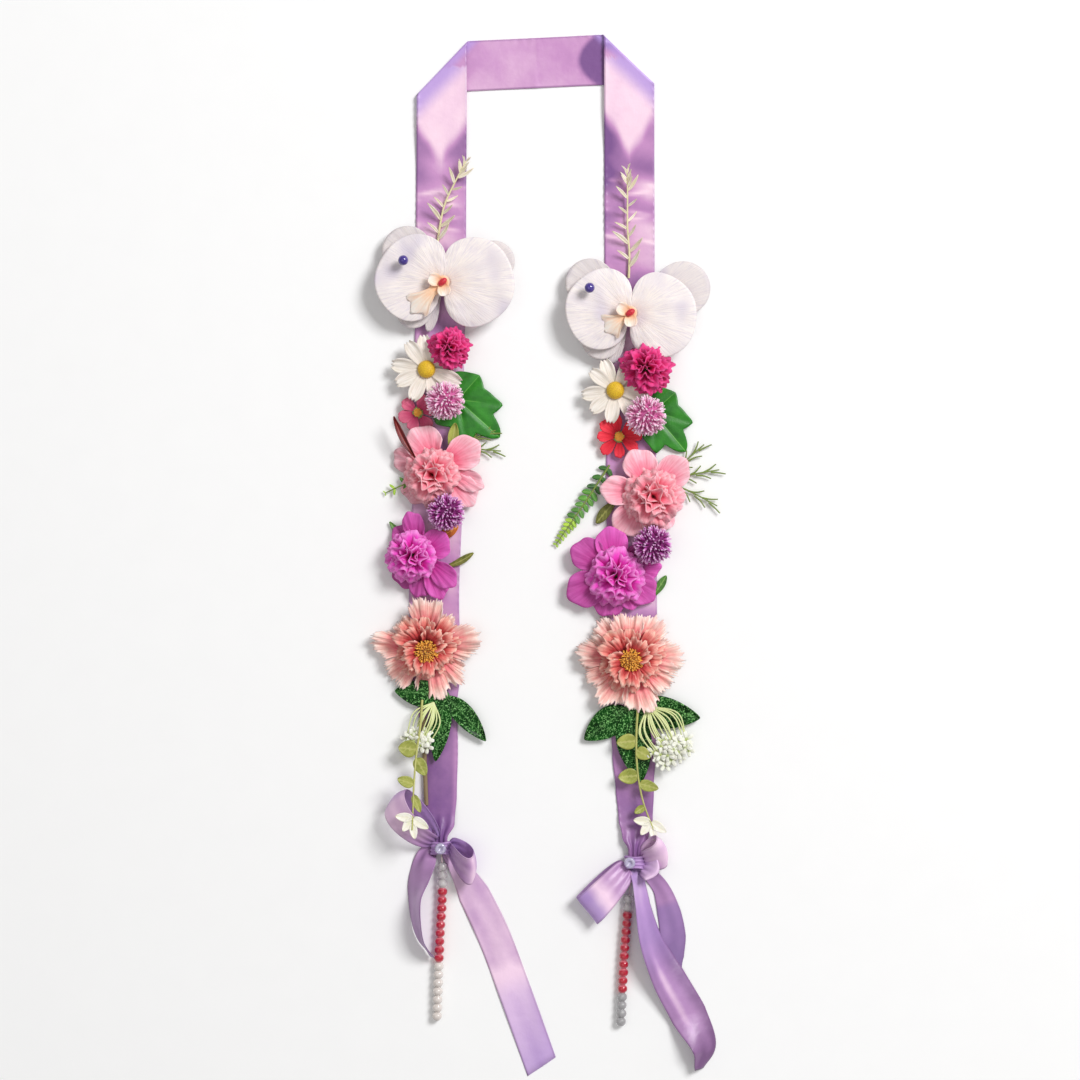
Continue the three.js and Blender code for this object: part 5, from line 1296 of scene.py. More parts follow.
def orchid_petal(length, seed):
    """A broad petal, almost a half circle, whose rim curls under."""
    return fan("petal", length, 87, 0.42, rows=30, cols=110, thick=0.5, shoulder=86.5,
               rim=lambda v: 1 + 0.02 * np.sin(4 * v + seed) + 0.01 * np.sin(11 * v + 2 * seed),
               rise=lambda u, v: 3.6 * (0.6 * v * v * u - u * u)
               + u * (0.14 * (1.2 - u) * np.sin(48 * v + 4 * np.sin(3 * v + seed))
                      + 1.3 * np.sin(4.2 * v + seed) * u * u) + crumple(u, v, seed, 0.4))


def orchid_sepal(length, half, seed):
    """A narrower one, in the shade of the petals."""
    return fan("sepal", length, opening_of(half, length, WIDEST), 0.3, rows=20, cols=36, thick=0.5,
               claw=0.12, tone=-0.7, rise=lambda u, v: 1.6 * (v * v * u - 1.1 * u * u)
               + u * (0.2 * np.sin(25 * v + seed) + 0.6 * np.sin(3.2 * v + seed) * u * u))


for c, (side, bloom) in enumerate(both("orchid")):
    parts = [set_at(orchid_petal(length, n * 1.7 + c), heading, climb, 0, 2.4)
             for n, (heading, length, climb) in enumerate(bloom["petals"])]
    parts += [set_at(orchid_sepal(length, half, n), heading, -4, 2, -1.4 * n - 0.4)
              for n, (heading, length, half) in enumerate(bloom["sepals"])]
    parts.append(turned("heart", [(5, -3, 0), (7, 0, 0.1), (6.4, 2.2, 0.1), (2, 3.2, 0)]))
    parts.append(turned("stub", [(3, 1.1 - bloom["lift"], 0), (3.4, -8, 0), (4.5, -2, 0)], 12))
    flower = merged(f"orchid_{side}_silk", parts)
    hand_over(flower, standing(bloom), "white_silk", f"orchid_{side}_petals", dyed=SILK["orchid"])

# %% [markdown]
# ## The orchid's lip
# A cream tongue with a flared end hangs from a little cup between two side lobes. They are blades, and the
# tongue's width is read from a few stations along it.

# %% Orchid lip
ALONG_TONGUE = (0, 0.15, 0.36, 0.6, 0.8, 0.93, 1)  # shares of its length
TONGUE_WIDTH = (0.42, 0.46, 0.33, 0.6, 0.95, 1, 0.86)  # shares of its half width there
LOBE_TURN = 58  # how far each side lobe stands away from the tongue, in degrees

for side, bloom in both("orchid"):
    tongue = blade("tongue", bloom["tongue"], 11, lambda u: np.interp(u, ALONG_TONGUE, TONGUE_WIDTH),
                   rise=lambda u, v: 1.6 * np.sin(3.0 * u) + 1.2 * v * v * (1 - u) - 2.4 * u * u
                   + 0.35 * np.sin(14 * v) * u ** 2,
                   rim=lambda v: 0.1 * np.cos(2.2 * v) + 0.06 * np.sin(5.5 * v + 1) - 0.08,
                   rows=24, cols=31, thick=0.5)
    parts = [set_at(tongue, bloom["lip"], 0, 0, 5.0)]
    for turn in (LOBE_TURN, -LOBE_TURN):
        lobe = blade("lobe", 12, 5, lambda u: 0.5 + 0.5 * np.sin(np.pi * u ** 1.3 * 0.9),
                     rise=lambda u, v: 1.6 * v * v + 1.2 * u * u, rows=14, cols=11, thick=0.5)
        parts.append(set_at(lobe, bloom["lip"] + turn, 20, 0, 5.2))
    parts.append(turned("cup", [(2, 3.6, 0), (4, 3.8, 0.1), (5.4, 5, 0.3), (5.2, 6, 0.5), (3.5, 6.2, 0.2)]))
    lip = merged(f"orchid_{side}_tongue", parts)
    hand_over(lip, standing(bloom), "peach_lip", f"orchid_{side}_lip", dyed=SILK["lip"])

# %% [markdown]
# ## The column and the pearl pin
# A flocked red column lies in the orchid's middle, and a pearl-headed pin holds the flower to the ribbon.
# Both are turned shapes.

# %% Column and pin
COLUMN_UP, PEARL_UP = 8.4, 10.6  # above the orchid's middle, in millimetres

for side, bloom in both("orchid"):
    column = turned(f"orchid_{side}_red_column", round_of(2.9, 2.3, 12, 0.15, 2.99))
    stretch = Matrix.Diagonal((1.35, 0.85, 1, 1))
    column.data.transform(Matrix.Rotation(math.radians(bloom["lip"]), 4, "Z") @ stretch)
    hand_over(column, standing(bloom, COLUMN_UP), "red_coat", f"orchid_{side}_column", dyed=RED_COAT)

    shank = turned("shank", [(0.45, -8, 0), (0.45, -3.6, 0)], 10)
    pin = merged(f"orchid_{side}_pin", [turned("pearl", round_of(3.9, 3.9, 16)), shank])
    spot = {"at": bloom["pearl"], "lift": bloom["lift"] + PEARL_UP}
    hand_over(pin, standing(spot), "purple_pearl", f"orchid_{side}_pearl_pin", dyed=PURPLE_PEARL)

# %% [markdown]
# ## Carnations
# A carnation is a crowd of fan petals with pinked rims, ruffled because the rim is longer than the arc it
# stands on. The heads are built as rings, each steeper and smaller than the one outside it. The two larger
# kinds sit on a skirt of broad plain petals.

# %% Carnation heads
RINGS = 6


def ruffled(name, length, seed, wave, curl, teeth):
    """A carnation petal, its rim waving up and down and curling outwards."""
    return fan(name, length, 36 + 40 / teeth, 0.22, rim=frill(seed, teeth, 0.3 / teeth + 0.03), rows=8,
               cols=23, claw=0.16, thick=0.3, rise=lambda u, v: wave * (
                   u ** 1.4 * np.sin(v * (3.5 + 0.6 * teeth) + seed)
                   + 0.4 * u ** 3 * np.sin(v * (6 + 1.6 * teeth) + seed))
               - curl * length * u ** 3 + crumple(u, v, seed, 0.025 * length))


def carnation_head(piece, radius, material, seed, teeth):
    """Rings of ruffled petals from nearly flat to upright, the inner ones in disorder."""
    for n in range(RINGS):
        w = n / (RINGS - 1)
        swell = math.sin(math.pi * w)
        petal = ruffled("ruffle", radius * (1.02 - 0.2 * w), seed + n, radius * (0.11 + 0.05 * w),
                        0.1 + 0.26 * swell, teeth)
        grow(piece, WHORL, Item=petal, Count=int(10 - 4.5 * w), Reach=0.4 + 1.6 * swell,
             Height=radius * (0.02 + 0.1 * w), Climb=9 + 69 * w, Turn=37.0 * n, Swing=16.0,
             Unrest=9.0 + 9 * w, Unevenness=0.16, Seed=seed * 10 + n, Material=material)
    return piece


for side, bloom in both("small_carnation"):
    head = carnation_head(empty(f"small_carnation_{side}_silk"), bloom["radius"], SILK["magenta"], 3, 5)
    hand_over(head, standing(bloom), "magenta_silk", f"small_carnation_{side}")

# %% The two larger carnations
def skirt_petal(length, half, tone, seed):
    """A broad plain petal, cupped along its middle and handled out of shape."""
    return fan("skirt", length, opening_of(half * 1.12, length, WIDEST), 0.26, rows=16, cols=30, thick=0.4,
               tone=tone, rim=lambda v: 1 + 0.03 * np.sin(3.1 * v + seed) + 0.02 * np.sin(9 * v + seed),
               rise=lambda u, v: half * (0.22 * v * v * u - 0.16 * u * u)
               + 0.9 * np.sin(4.4 * v + 1.9 * seed) * u * u + 0.3 * np.sin(13 * v + seed) * u ** 3
               + crumple(u, v, seed, 0.45))


for entry, seed, key in [("pink_carnation", 6, "pink"), ("violet", 5, "violet")]:
    for side, bloom in both(entry):
        node, slot = f"{key}_carnation_{side}", f"{key}_silk"
        head = carnation_head(empty(f"{node}_heart"), bloom["head"], SILK[key], seed, 2.6)
        hand_over(head, standing(bloom) @ Matrix.Translation((*bloom["heart"], 0.5)), slot, node)
        petals = [set_at(skirt_petal(length, half, tone, n), heading, climb, 0.6, -0.3 * n - 0.4)
                  for n, (heading, length, half, climb, tone) in enumerate(bloom["skirt"])]
        skirt = merged(f"{node}_skirt", petals)
        hand_over(skirt, standing(bloom), slot, node, dyed=SILK[f"{key}_skirt"])

# %% [markdown]
# ## Pompoms
# A pompom chrysanthemum is a ball of narrow strap florets that stand out all round and curl over at their
# pale tips. One strap is made, and the golden angle spreads its copies evenly over the ball.

# %% Pompoms
CORE, STRAP_ROOT, STRAP_LONG = 0.7, 0.57, 0.45  # shares of a pompom's radius


def strap(length, half):
    """A strap floret that stands on its root and curls over at its tip."""
    made = blade("strap", length, half, lambda u: 0.6 + 0.4 * np.sin(np.pi * u ** 0.8), rows=6, cols=4,
                 thick=0.3, rise=lambda u, v: 0.22 * length * u ** 3 + 0.5 * v * v)
    made.data.transform(Matrix.Rotation(-math.pi / 2, 4, "Y"))
    return made


for key, slot, count in [("pale", "lilac_silk", 330), ("purple", "purple_silk", 300)]:
    for side, bloom in both(f"{key}_pompom"):
        r = bloom["radius"]
        ball = turned(f"{key}_pompom_{side}_florets", round_of(CORE * r, CORE * r, 14, u=0.0), 20)
        grow(ball, DOME, Item=strap(r * STRAP_LONG, 0.85), Count=count, Radius=r * STRAP_ROOT, Squash=0.94,
             Spread=165.0, Wobble=16.0, Rough=0.08, Unevenness=0.16, Seed=7, Material=SILK[key])
        hand_over(ball, standing(bloom), slot, f"{key}_pompom_{side}", dyed=SILK[key])

# %% [markdown]
# ## Daisies and cosmos
# Single flowers: one ring of petals round a flocked button. Each petal could be placed by hand, but the
# ring tree with some unrest looks as uneven as glued silk. The dome tree sets grains on a cosmos's eye.

# %% Daisies
for side, bloom in both("daisy"):
    r = bloom["radius"]
    ray = blade("ray", r * 0.98, r * 0.24, lambda u: 0.3 + 0.7 * np.sin(np.pi * u ** 1.6 * 0.92) ** 0.6,
                rise=lambda u, v: r * (0.1 * v * v * u - 0.12 * u * u) + 0.3 * np.cos(v * 8) * u,
                rim=lambda v: 0.04 * np.cos(9 * v), rows=16, cols=13)
    rays = grow(empty(f"daisy_{side}_rays"), WHORL, Item=ray, Count=9, Reach=1.5, Climb=9.0,
                Turn=float(bloom["turn"]), Swing=7.0, Unrest=11.0, Unevenness=0.09, Seed=4,
                Material=SILK["daisy"])
    hand_over(rays, standing(bloom), "white_silk", f"daisy_{side}_petals")
    eye = turned(f"daisy_{side}_button", button_of(bloom["eye"], 5, 10), 32)
    hand_over(eye, standing(bloom, 2.0), "yellow_eye", f"daisy_{side}_eye", dyed=YELLOW_EYE)

# %% Cosmos
for strand, key, count, opening in [(LEFT, "rose", 6, 31), (RIGHT, "red", 8, 23)]:
    side, bloom = strand["side"], strand["cosmos"]
    r, e = bloom["radius"], bloom["eye"]
    ray = fan("cosmos_petal", r * 0.98, opening, 0.25, rim=frill(1.0, 3, 0.05), rows=10, cols=18,
              rise=lambda u, v: r * (0.08 * v * v * u - 0.06 * u * u) + 0.22 * np.cos(v * 9) * u)
    rays = grow(empty(f"cosmos_{side}_rays"), WHORL, Item=ray, Count=count, Reach=0.8, Climb=7.0,
                Turn=float(bloom["turn"]), Swing=6.0, Unrest=9.0, Unevenness=0.08, Seed=9,
                Material=SILK[key])
    hand_over(rays, standing(bloom), f"{key}_silk", f"cosmos_{side}_petals")
    grainlet = turned("grainlet", [(0.2, 0, 0), (0.45, 0.5, 0), (0.2, 1.0, 0)], 6)
    eye = turned(f"cosmos_{side}_button", button_of(e, e * 0.7, 8), 20)
    grow(eye, DOME, Item=grainlet, Count=50, Radius=e * 0.92, Squash=0.72, Spread=85.0, Wobble=12.0,
         Rough=0.05, Unevenness=0.2, Seed=3, Material=AMBER_EYE)
    hand_over(eye, standing(bloom, 1.8), "amber_eye", f"cosmos_{side}_eye", dyed=AMBER_EYE)

# %% [markdown]
# ## Peach blooms
# A skirt of broad petals and two inner rings, their ends torn into uneven fingers, round a tuft of amber
# stamens. The skirt's petals are placed as they show in the photograph, and the tree sets the rings.

# %% Peach petals
INNER_RINGS = [(8, 0.72, 30, 19.0, 1.0), (7, 0.56, 33, 36.0, 1.8)]  # count, size, opening, climb, height


def fringed(seed, fingers):
    """A squarish end cut into fine uneven fingers."""
    return lambda v: (1 - 0.13 * np.abs(np.sin((v + 0.12 * np.sin(5 * v + seed)) * fingers + seed)) ** 0.8
                      * (0.65 + 0.35 * np.sin(7 * v + 3 * seed)) - 0.05 * np.abs(np.sin(v * 29 + 2 * seed))
                      - 0.05 * np.sin(3.4 * v + 2 * seed) - 0.03)


def peach_outer(length, half, tone, n):
    """A petal of the skirt, creased from root to fringe."""
    return fan("outer", length, opening_of(half, length, 0.74), 0.14, rows=18, cols=58, thick=0.4,
               claw=0.12, tone=tone, rim=fringed(n + 1.0, 17.0),
               rise=lambda u, v: half * (0.2 * v * v * u - 0.2 * u * u)
               + u ** 2 * (0.3 * np.cos(30 * v + 4 * np.sin(3 * v + n)) + 1.7 * np.sin(4.2 * v + 1.7 * n)
                           + 0.9 * np.sin(9 * v + 2.3 * n)) + crumple(u, v, n, 1.0))


def peach_inner(length, opening, r, n):
    """A petal of an inner ring, cupped and more crumpled."""
    return fan("inner", length, opening, 0.12, rows=14, cols=34, thick=0.4, claw=0.14,
               rim=fringed(n + 4.0, 11.0), rise=lambda u, v: r * (0.1 * v * v * u - 0.1 * u ** 3)
               + u ** 2 * (0.35 * np.cos(22 * v + 3 * np.sin(3 * v)) + 2.3 * np.sin(6 * v + n))
               + crumple(u, v, 2 * n, 1.2))


for side, bloom in both("peach"):
    r = bloom["radius"]
    petals = [set_at(peach_outer(length, half, tone, n), heading, climb, 0.6, -0.15 * n)
              for n, (heading, length, half, climb, tone) in enumerate(bloom["skirt"])]
    flower = merged(f"peach_bloom_{side}_silk", petals)
    for n, (count, size, opening, climb, height) in enumerate(INNER_RINGS):
        grow(flower, WHORL, Item=peach_inner(r * size, opening, r, n), Count=count, Height=height,
             Climb=climb, Turn=21.0 * n, Swing=14.0, Unrest=13.0, Unevenness=0.16, Seed=12 + n,
             Material=SILK["peach_heart"])
    hand_over(flower, standing(bloom), "peach_silk", f"peach_bloom_{side}", dyed=SILK["peach"])

# %% Peach stamens
STAMENS = 280
TUFT_UP = 5.3  # above the bloom's middle, in millimetres

for side, bloom in both("peach"):
    e = bloom["eye"]
    filament = turned("filament", [
        (0.24, 0, 0), (0.22, e * 0.5, 0), (0.46, e * 0.58, 0), (0.3, e * 0.66, 0)], 6)
    tuft = turned(f"peach_bloom_{side}_tuft", [
        (e * 0.45, 0, 0), (e * 0.5, 1.6, 0), (e * 0.34, 3.0, 0), (1, 3.5, 0)], 20)
    grow(tuft, DOME, Item=filament, Count=STAMENS, Radius=e * 0.36, Squash=0.8, Spread=80.0, Wobble=9.0,
         Rough=0.08, Unevenness=0.16, Seed=5, Material=AMBER_EYE)
    place = standing(bloom, TUFT_UP) @ Matrix.Translation((*bloom["heart"], 0))
    hand_over(tuft, place, "amber_eye", f"peach_bloom_{side}_stamens", dyed=AMBER_EYE)

# %% [markdown]
# ## Ivy leaves
# A five-lobed leaf. Its outline is easiest to give as a reach for each direction, round the point where
# its stalk and its veins meet. Only one half is written down, and the other mirrors it.

# %% Ivy
IVY_HALF = [(8, 0.95), (24, 0.7), (42, 0.9), (52, 0.76), (70, 0.62), (90, 0.74), (104, 0.66), (128, 0.58),
            (150, 0.5)]  # directions in degrees from the tip, and how far the leaf reaches there
IVY = [(-a, r) for a, r in reversed(IVY_HALF)] + [(0, 1.02)] + IVY_HALF
IVY_VEINS = np.radians((-90, -42, 0, 42, 90))


def ivy_leaf(name, length, rows=16, cols=97):
    """A leaf whose five veins run from its stalk into its lobes."""
    u, a = np.meshgrid(np.linspace(0.02, 1, rows), np.radians(np.linspace(-150, 150, cols)), indexing="ij")
    r = np.interp(np.degrees(a), *zip(*IVY)) * length * 0.84 * u
    x, y = r * np.cos(a) + length * 0.16, r * np.sin(a) * 0.8
    vein = np.min([np.abs(np.sin(a - m)) * r + np.where(np.cos(a - m) < 0, 9, 0) for m in IVY_VEINS], axis=0)
    z = 2.6 * np.sin(np.pi * np.clip(x / length, 0, 1)) + 0.3 * np.minimum(vein, 4) * (1 - 0.4 * u)
    return sheet(name, np.stack([x, y, z], -1), 0.45, {"vein": vein})


def lying(at, height, heading):
    """The place of a leaf that lies on the ribbon, its heading in degrees."""
    return TO_FRAME @ Matrix.Translation((*at, height)) @ Matrix.Rotation(math.radians(heading), 4, "Z")


for side, ivy in both("ivy"):
    leaf = ivy_leaf(f"ivy_{side}", ivy["length"])
    hand_over(leaf, lying(ivy["at"], 1.5, ivy["heading"]), "leaf_green", f"ivy_leaf_{side}", dyed=LEAF["ivy"])

# %% [markdown]
# ## Mottled leaves
# Three long dark speckled leaves share one foot. They are arched blades, each a little higher than the
# last, so that they don't cut into one another.

# %% Mottled leaves
def pointed(u):
    """The width of a leaf that is pointed at both ends."""
    return np.sin(np.pi * u ** 0.8) ** 0.75


for side, bunch in both("leaves"):
    parts = []
    for n, (heading, length, half, bend) in enumerate(bunch["blades"]):
        leaf = blade("mottled", length, half * 1.08, pointed, rows=30, cols=15, thick=0.5, veins=7.0,
                     rise=lambda u, v: 2.2 * u * v * v - 1.2 * u * u + 1.6 * np.sin(np.pi * u), bend=bend)
        parts.append(set_at(leaf, heading, 2, 1, 2.5 + 0.5 * n))
    parts.append(turned("foot", [(3.6, 1.1, 0), (3.1, 3.5, 0), (1, 3.9, 0)], 12))
    leaves = merged(f"mottled_leaves_{side}_blades", parts)
    hand_over(leaves, TO_FRAME @ Matrix.Translation((*bunch["at"], 0)), "dark_green",
              f"mottled_leaves_{side}", dyed=LEAF["mottled"])

# %% [markdown]
# ## Small leaves
# Single narrow leaves fill the gaps between the blooms, each placed by its root and its tip. A curled
# wine-red sepal and a pale bract beside the left pink carnation are steeper blades of the same kind.

# %% Small leaves
def slim(fullest):
    """The width of a slim leaf that is fullest past its middle: a larger number moves it to the tip."""
    return lambda u: np.sin(np.pi * u ** fullest) ** 0.8 * 0.9 + 0.1


for side, leaves in both("small_leaves"):
    for n, (at, tip, half, bend, key) in enumerate(leaves):
        dx, dy = tip[0] - at[0], tip[1] - at[1]
        heading = math.degrees(math.atan2(dy, dx) - math.atan(bend))
        leaf = blade(f"small_leaf_{side}_{n}", math.hypot(dx, dy), half, slim(1.8),
                     rise=lambda u, v: 0.6 * v * v + 0.8 * np.sin(np.pi * u), rows=24, cols=9, veins=4.0,
                     bend=bend)
        hand_over(leaf, lying(at, 2.1 + 0.2 * n, heading), "leaf_green", f"small_leaves_{side}",
                  dyed=LEAF[key])

for label, key, at, height, heading, long, half, bend in [
        ("sepal", "wine", (-97, 76), 13, 128, 36, 2.6, -0.18),
        ("bract", "vine", (-72, 82), 6.5, 76, 22, 4.0, 0.05)]:
    leaf = blade(f"{label}_left", long, half, slim(1.2), rise=lambda u, v: 1.6 * v * v + 2.5 * u, rows=20,
                 cols=7, veins=30.0, bend=bend)
    hand_over(leaf, lying(at, height, heading), "leaf_green", "small_leaves_left", dyed=LEAF[key])

# %% [markdown]
# ## Sprigs
# The fine greenery is a line with something set along it, so the same two trees make it: one gives the
# line a body, the other sets the leaves. The pale sprig above each orchid has small leaves at its tip that
# turn forward, so it takes two runs of the second tree.

# %% Sprigs
def stem_piece(name, paths, root, tip, material, slot, node, sides=7):
    """Stems through points, handed over as one piece."""
    piece = grow(lines(name, paths), STEM, Root_radius=root, Tip_radius=tip, Sides=sides, Material=material)
    return hand_over(piece, TO_FRAME, slot, node)


for side, points in both("sprig"):
    route = through(points, 24)
    stem_piece(f"sprig_stem_{side}", [route], 1.0, 0.5, LEAF["straw"], "pale_stem", f"sprig_{side}")
    leaf = blade("sprig_leaf", 15, 1.5, lambda u: np.sin(np.pi * u ** 0.8) ** 0.8, rows=12, cols=5,
                 veins=30.0, rise=lambda u, v: 2.2 * u * u + 0.3 * v * v, bend=0.14)
    leaves = empty(f"sprig_leaves_{side}")
    line = lines("line", [route])
    grow(leaves, ALONG, Item=leaf, Line=line, Count=11, Start=0.1, End=0.8, Lean=46.0, Climb=8.0,
         Unrest=16.0, Together=1, Unevenness=0.25, Last_size=0.8, Seed=2, Material=LEAF["sprig"])
    grow(leaves, ALONG, Item=leaf, Line=line, Count=9, Start=0.84, End=1.0, Lean=22.0, Climb=16.0,
         Unrest=16.0, Together=1, Size=0.6, Last_size=0.7, Seed=3, Material=LEAF["sprig"])
    hand_over(leaves, TO_FRAME, "pale_stem", f"sprig_{side}")

# %% [markdown]
# ## Ferns
# A moulded frond with dark leaflets at its foot and lime ones at its tip. The leaflets stand in pairs, so
# the tree that follows a line sets them, in three runs because each finish needs its own.

# %% Ferns
FERN_RUNS = [(0.04, 0.26, 0.6, 0.8, 0.85, "dark_fern"), (0.34, 0.64, 0.9, 0.9, 0.75, "mid_fern"),
             (0.7, 1.0, 1.1, 0.66, 0.32, "fern")]  # from, to, share of leaflets, first and last size, finish

for side, fern in both("fern"):
    middle = np.add(fern["foot"], fern["tip"]) / 2 + (1.5, 1.5)
    route = through([(*fern["foot"], 2), (*middle, 4.2), (*fern["tip"], 2.2)], 24)
    stem_piece(f"fern_rib_{side}", [route], 0.9, 0.4, LEAF["twig"], "fresh_green", f"fern_{side}")
    leaflet = blade("leaflet", fern["long"], fern["half"], lambda u: np.sin(np.pi * u ** 0.8) ** 0.55,
                    rows=8, cols=5, veins=20.0)
    leaflets, line = empty(f"fern_leaflets_{side}"), lines("line", [route])
    for begins, ends, share, first, last, key in FERN_RUNS:
        count = int(fern["leaflets"] // 2 * share) // 2 * 2
        grow(leaflets, ALONG, Item=leaflet, Line=line, Count=count, Start=begins, End=ends, Lean=60.0,
             Climb=2.0, Unrest=7.0, Together=2, Size=first, Last_size=last / first, Seed=6,
             Material=LEAF[key])
    hand_over(leaflets, TO_FRAME, "fresh_green", f"fern_{side}")

# %% [markdown]
# ## Fine sprays
# Thin twigs with short side twigs, like asparagus fern. They are lines that get a body from the stem tree.

# %% Fine sprays
SIDE_TWIGS = 5


def uneven(n):
    """The same small unevenness from 0.88 to 1.12 for the same twig each time, as the source has it."""
    return 1 + 0.12 * math.sin(n * 12.9898 + 4 * 78.233)


def twig_paths(at, heading, length):
    """A twig from a place along its heading, and the side twigs that branch off left and right by turns."""
    c, s = math.cos(math.radians(heading)), math.sin(math.radians(heading))

    def spot(d, z, off=0.0):
        return at[0] + c * d - s * off, at[1] + s * d + c * off, z

    paths = [through([spot(0.8, 2.2), spot(length * 0.5, 2.8, 0.8), spot(length, 2.8)], 10)]
    for k in range(SIDE_TWIGS):
        w, way = 0.28 + 0.14 * k, 1 if k % 2 else -1
        paths.append(through([spot(length * w, 2.8, 0.5 * way), spot(length * (w + 0.14), 3, 2.2 * way),
                              spot(length * (w + 0.26), 3.2, (6.5 - 0.6 * k) * way)], 5))
    return paths


for side, spray in both("spray"):
    paths = []
    for n, heading in enumerate(spray["headings"]):
        paths += twig_paths(spray["at"], heading, spray["length"] * uneven(n))
    stem_piece(f"fine_spray_{side}_twigs", paths, 0.8, 0.5, LEAF["twig"], "fresh_green",
               f"fine_spray_{side}", 5)

# %% [markdown]
# ## Budding vines
# A bent stem with a few leaves and cream buds, so few that each is placed one by one, by its share of the
# stem. A brown stick runs beside the left one.

# %% Vines
VINE_STEPS = 30
BUDS = [(0.95, -32, 14, 3.8), (0.98, -80, 11, 3), (0.95, -128, 12, 3.4), (0.92, 172, 13, 3.6)]
STICK = [(-92, -120, 2.6), (-91.4, -150, 2.6), (-90, -186, 3)]

for side, vine in both("vine"):
    route = through(vine["path"], VINE_STEPS)
    stem_piece(f"vine_stem_{side}", [route], 1.0, 0.6, LEAF["vine"], "fresh_green", f"vine_{side}")
    for label, key, leaves in [("leaves", "vine", vine["leaves"]), ("buds", "bud", BUDS)]:
        parts = []
        for share, heading, length, half in leaves:
            leaf = blade("vine_leaf", length, half, lambda u: np.sin(np.pi * u ** 0.75) ** 0.6, rows=14,
                         cols=9, veins=3.5, rise=lambda u, v: 0.5 * v * v + 1.2 * u * u)
            root = Matrix.Translation(route[round(share * VINE_STEPS)])
            leaf.data.transform(root @ Matrix.Rotation(math.radians(heading), 4, "Z"))
            parts.append(leaf)
        piece = merged(f"vine_{label}_{side}", parts)
        hand_over(piece, TO_FRAME, "fresh_green", f"vine_{side}", dyed=LEAF[key])
stem_piece("vine_stick_left", [through(STICK, 14)], 2.0, 1.7, LEAF["brown"], "fresh_green", "vine_left")

# %% [markdown]
# ## Umbels
# A flat green head of many rays, each with a white floret of five petals at its tip. A fifth tree sets the
# floret on points that are already there. The tips follow the golden angle too, squeezed along the strand,
# because the head lies over.

# %% A floret on each tip
TIPS, given, end = new_tree("florets_on_tips", {
    **{label: SHARED[label] for label in SHARED if label != "Count"}, "Unrest": 20.0})
*tipping, spinning = chances(TIPS, given, 0, 1, 2)
tipped = [add(TIPS, MATH, [
    add(TIPS, MATH, [chance, given["Unrest"]], operation="MULTIPLY"),
], operation="RADIANS") for chance in tipping]
spin = add(TIPS, MATH, [spinning, math.pi], operation="MULTIPLY")
rotation = add(TIPS, "ShaderNodeCombineXYZ", {"X": tipped[0], "Y": tipped[1], "Z": spin})
TIPS.links.new(scatter(TIPS, given, given["Geometry"], rotation).outputs[0], end.inputs[0])

parts = []
for n in range(5):
    petal = blade("floret_petal", 3.4, 0.95, lambda u: 0.25 + 0.75 * np.sin(np.pi * u ** 1.3 * 0.9) ** 0.7,
                  rows=6, cols=4, thick=0.35, rise=lambda u, v: 0.5 * u - 0.7 * u ** 3)
    parts.append(set_at(petal, 72 * n, 12, 0.3))
parts.append(turned("throat", [(0.5, -1.4, 0), (0.7, 0, 0.2), (0.3, 0.7, 0)], 7))
floret = merged("floret", parts)
print("tree", TIPS.name, "with", len(TIPS.nodes), "nodes; a floret has", len(floret.data.polygons), "faces")

# %% Umbels
SQUEEZE = 0.62  # how much narrower the head is along the strand than across it
CROWN_Z, CROWN_FALL = 10.5, 3.0  # the height of the middle tip, and how far the outer ones are below it
UNEVEN_Z = 0.8

for side, umbel in both("umbel"):
    at, centre = np.array(umbel["at"], float), np.array(umbel["centre"], float)
    far = np.linalg.norm(centre - at)
    ahead = (centre - at) / far
    aside = np.array((-ahead[1], ahead[0]))
    dots = np.random.default_rng(8)
    rays, tips = [], []
    for n in range(umbel["rays"]):
        angle, r = n * GOLDEN_ANGLE, umbel["spread"] * math.sqrt((n + 0.5) / umbel["rays"])
        tip = centre + aside * r * math.cos(angle) + ahead * r * SQUEEZE * math.sin(angle)
        z = CROWN_Z - CROWN_FALL * (r / umbel["spread"]) ** 2 + dots.uniform(-UNEVEN_Z, UNEVEN_Z)
        bend = at + ahead * far * 0.4 + aside * r * math.cos(angle) * 1.25
        rays.append(through([(*at, 4), (*bend, 9), (*tip, z - 0.5)], 12))
        tips.append((*tip, z + 0.6))
    stem_piece(f"umbel_rays_{side}", rays, 0.7, 0.42, LEAF["ray"], "fresh_green", f"umbel_{side}_rays", 6)
    head = grow(lines(f"umbel_{side}_white_florets", [[tip] for tip in tips]), TIPS, Item=floret, Size=1.5,
                Unevenness=0.15, Unrest=22.0, Seed=5, Material=SILK["floret"])
    hand_over(head, TO_FRAME, "white_silk", f"umbel_{side}_florets")

# %% [markdown]
# ## Beads
# Strung so that they touch: clear, then red, then pearls, and four smoky ones at the right end. The tree
# that sets leaves along a line also strings copies of one bead. A ring bead sits in each knot.

# %% Beads
BEAD_PITCH = 6.3  # from one bead's middle to the next, in millimetres
RING_UP = 10.4
sides = [(3.8 * math.cos(a) ** 0.7, 3.1 * math.sin(a), 0.5 + a / 2.2) for a in np.linspace(-1.1, 1.1, 11)]
bead = turned("bead", [(0.8, -2.9, 0), (2.2, -3.1, 0)] + sides + [(2.2, 3.1, 1), (0.8, 2.9, 1)], 20)
bead.data.transform(Matrix.Rotation(math.pi / 2, 4, "Y"))

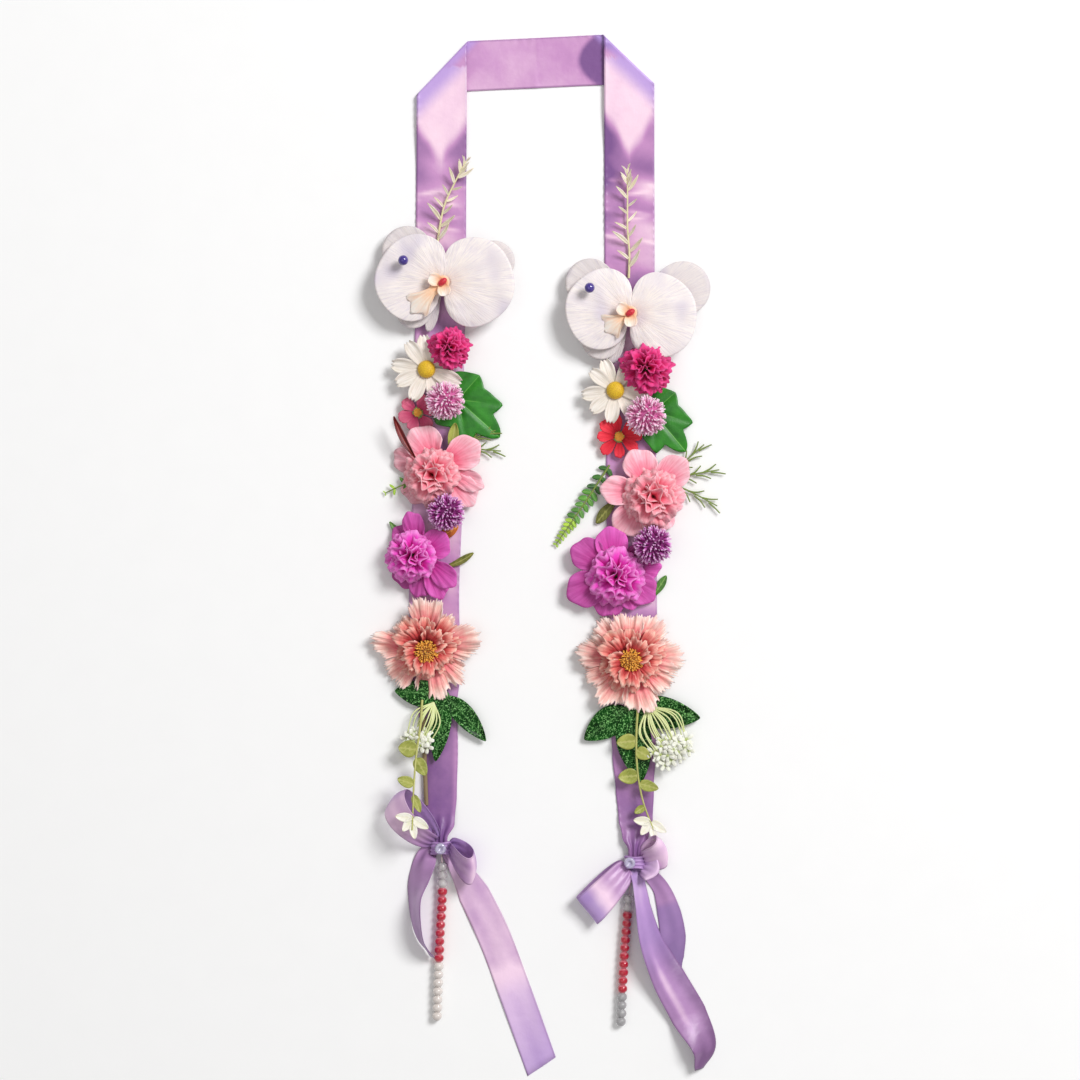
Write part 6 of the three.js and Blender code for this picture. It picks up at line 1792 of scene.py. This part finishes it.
for strand in STRANDS:
    side = strand["side"]
    route = through(strand["beads"], 120)
    long = np.linalg.norm(np.diff(route, axis=0), axis=1).sum()
    count = round(long / BEAD_PITCH)
    line = lines("string", [route])
    red = strand["clear"] + strand["red"]
    last = count - strand["smoky"]
    for label, runs in [("clear", [(0, strand["clear"], CLEAR)]), ("red", [(strand["clear"], red, RED)]),
                        ("pearl", [(red, last, PEARL), (last, count, GREY)])]:
        string = empty(f"{label}_beads_{side}_string")
        for first, after, material in runs:
            if after > first:
                grow(string, ALONG, Item=bead, Line=line, Count=after - first, Start=(first + 0.5) / count,
                     End=(after - 0.5) / count, Lean=0.0, Unrest=3.0, Together=1, Unevenness=0.03, Seed=1,
                     Material=material)
        hand_over(string, TO_FRAME, f"{label}_bead", f"{label}_beads_{side}")
    print(count, "beads on the", side)

# %% Thread and ring
RING = [(1.6, 0.4, 0), (3.6, 0.2, 0), (4.4, 1.4, 0), (4.1, 2.8, 0), (3, 3.6, 0), (1.9, 3.3, 0), (1.5, 2.0, 0)]

for strand in STRANDS:
    side, (x, y) = strand["side"], strand["knot"]
    stem_piece(f"bead_thread_{side}", [through(strand["thread"], 12)], 0.5, 0.5, SILK["orchid"],
               "clear_bead", f"clear_beads_{side}")
    ring = turned(f"knot_ring_{side}", RING, 28)
    place = TO_FRAME @ Matrix.Translation((x + strand["ring_aside"], y, RING_UP))
    hand_over(ring, place, "clear_bead", f"knot_bead_{side}", dyed=SILVER_RING)

# %% [markdown]
# ## Calyx cups
# Under each bloom sits the plastic cup that it was pushed on to, glued to the ribbon. One profile gives
# them all. They stand for no solid of their own.

# %% Calyx cups
CUPPED = ("small_carnation", "daisy", "pale_pompom", "cosmos", "pink_carnation", "purple_pompom", "violet",
          "peach")

for strand in STRANDS:
    side, cups = strand["side"], []
    for kind in CUPPED:
        bloom = strand[kind]
        top = bloom["lift"] - (bloom["radius"] * 0.6 if "pompom" in kind else 0)
        cup = turned("cup", [
            (3.4, 1.0, 0), (3.0, 2.0, 0.2), (3.2, top * 0.6, 0.5), (4.6, top + 0.6, 1), (2, top + 1, 1)], 14)
        cup.data.transform(Matrix.Translation((*bloom["at"], 0)))
        cups.append(cup)
    piece = merged(f"calyx_cups_{side}", cups)
    hand_over(piece, TO_FRAME, "leaf_green", dyed=LEAF["calyx"])

# %% The end
# The single petals, beads and lines that the trees copied aren't needed any more.
for blank in [o for o in bpy.data.objects if not o.users_scene and o.type == "MESH"]:
    bpy.data.objects.remove(blank)
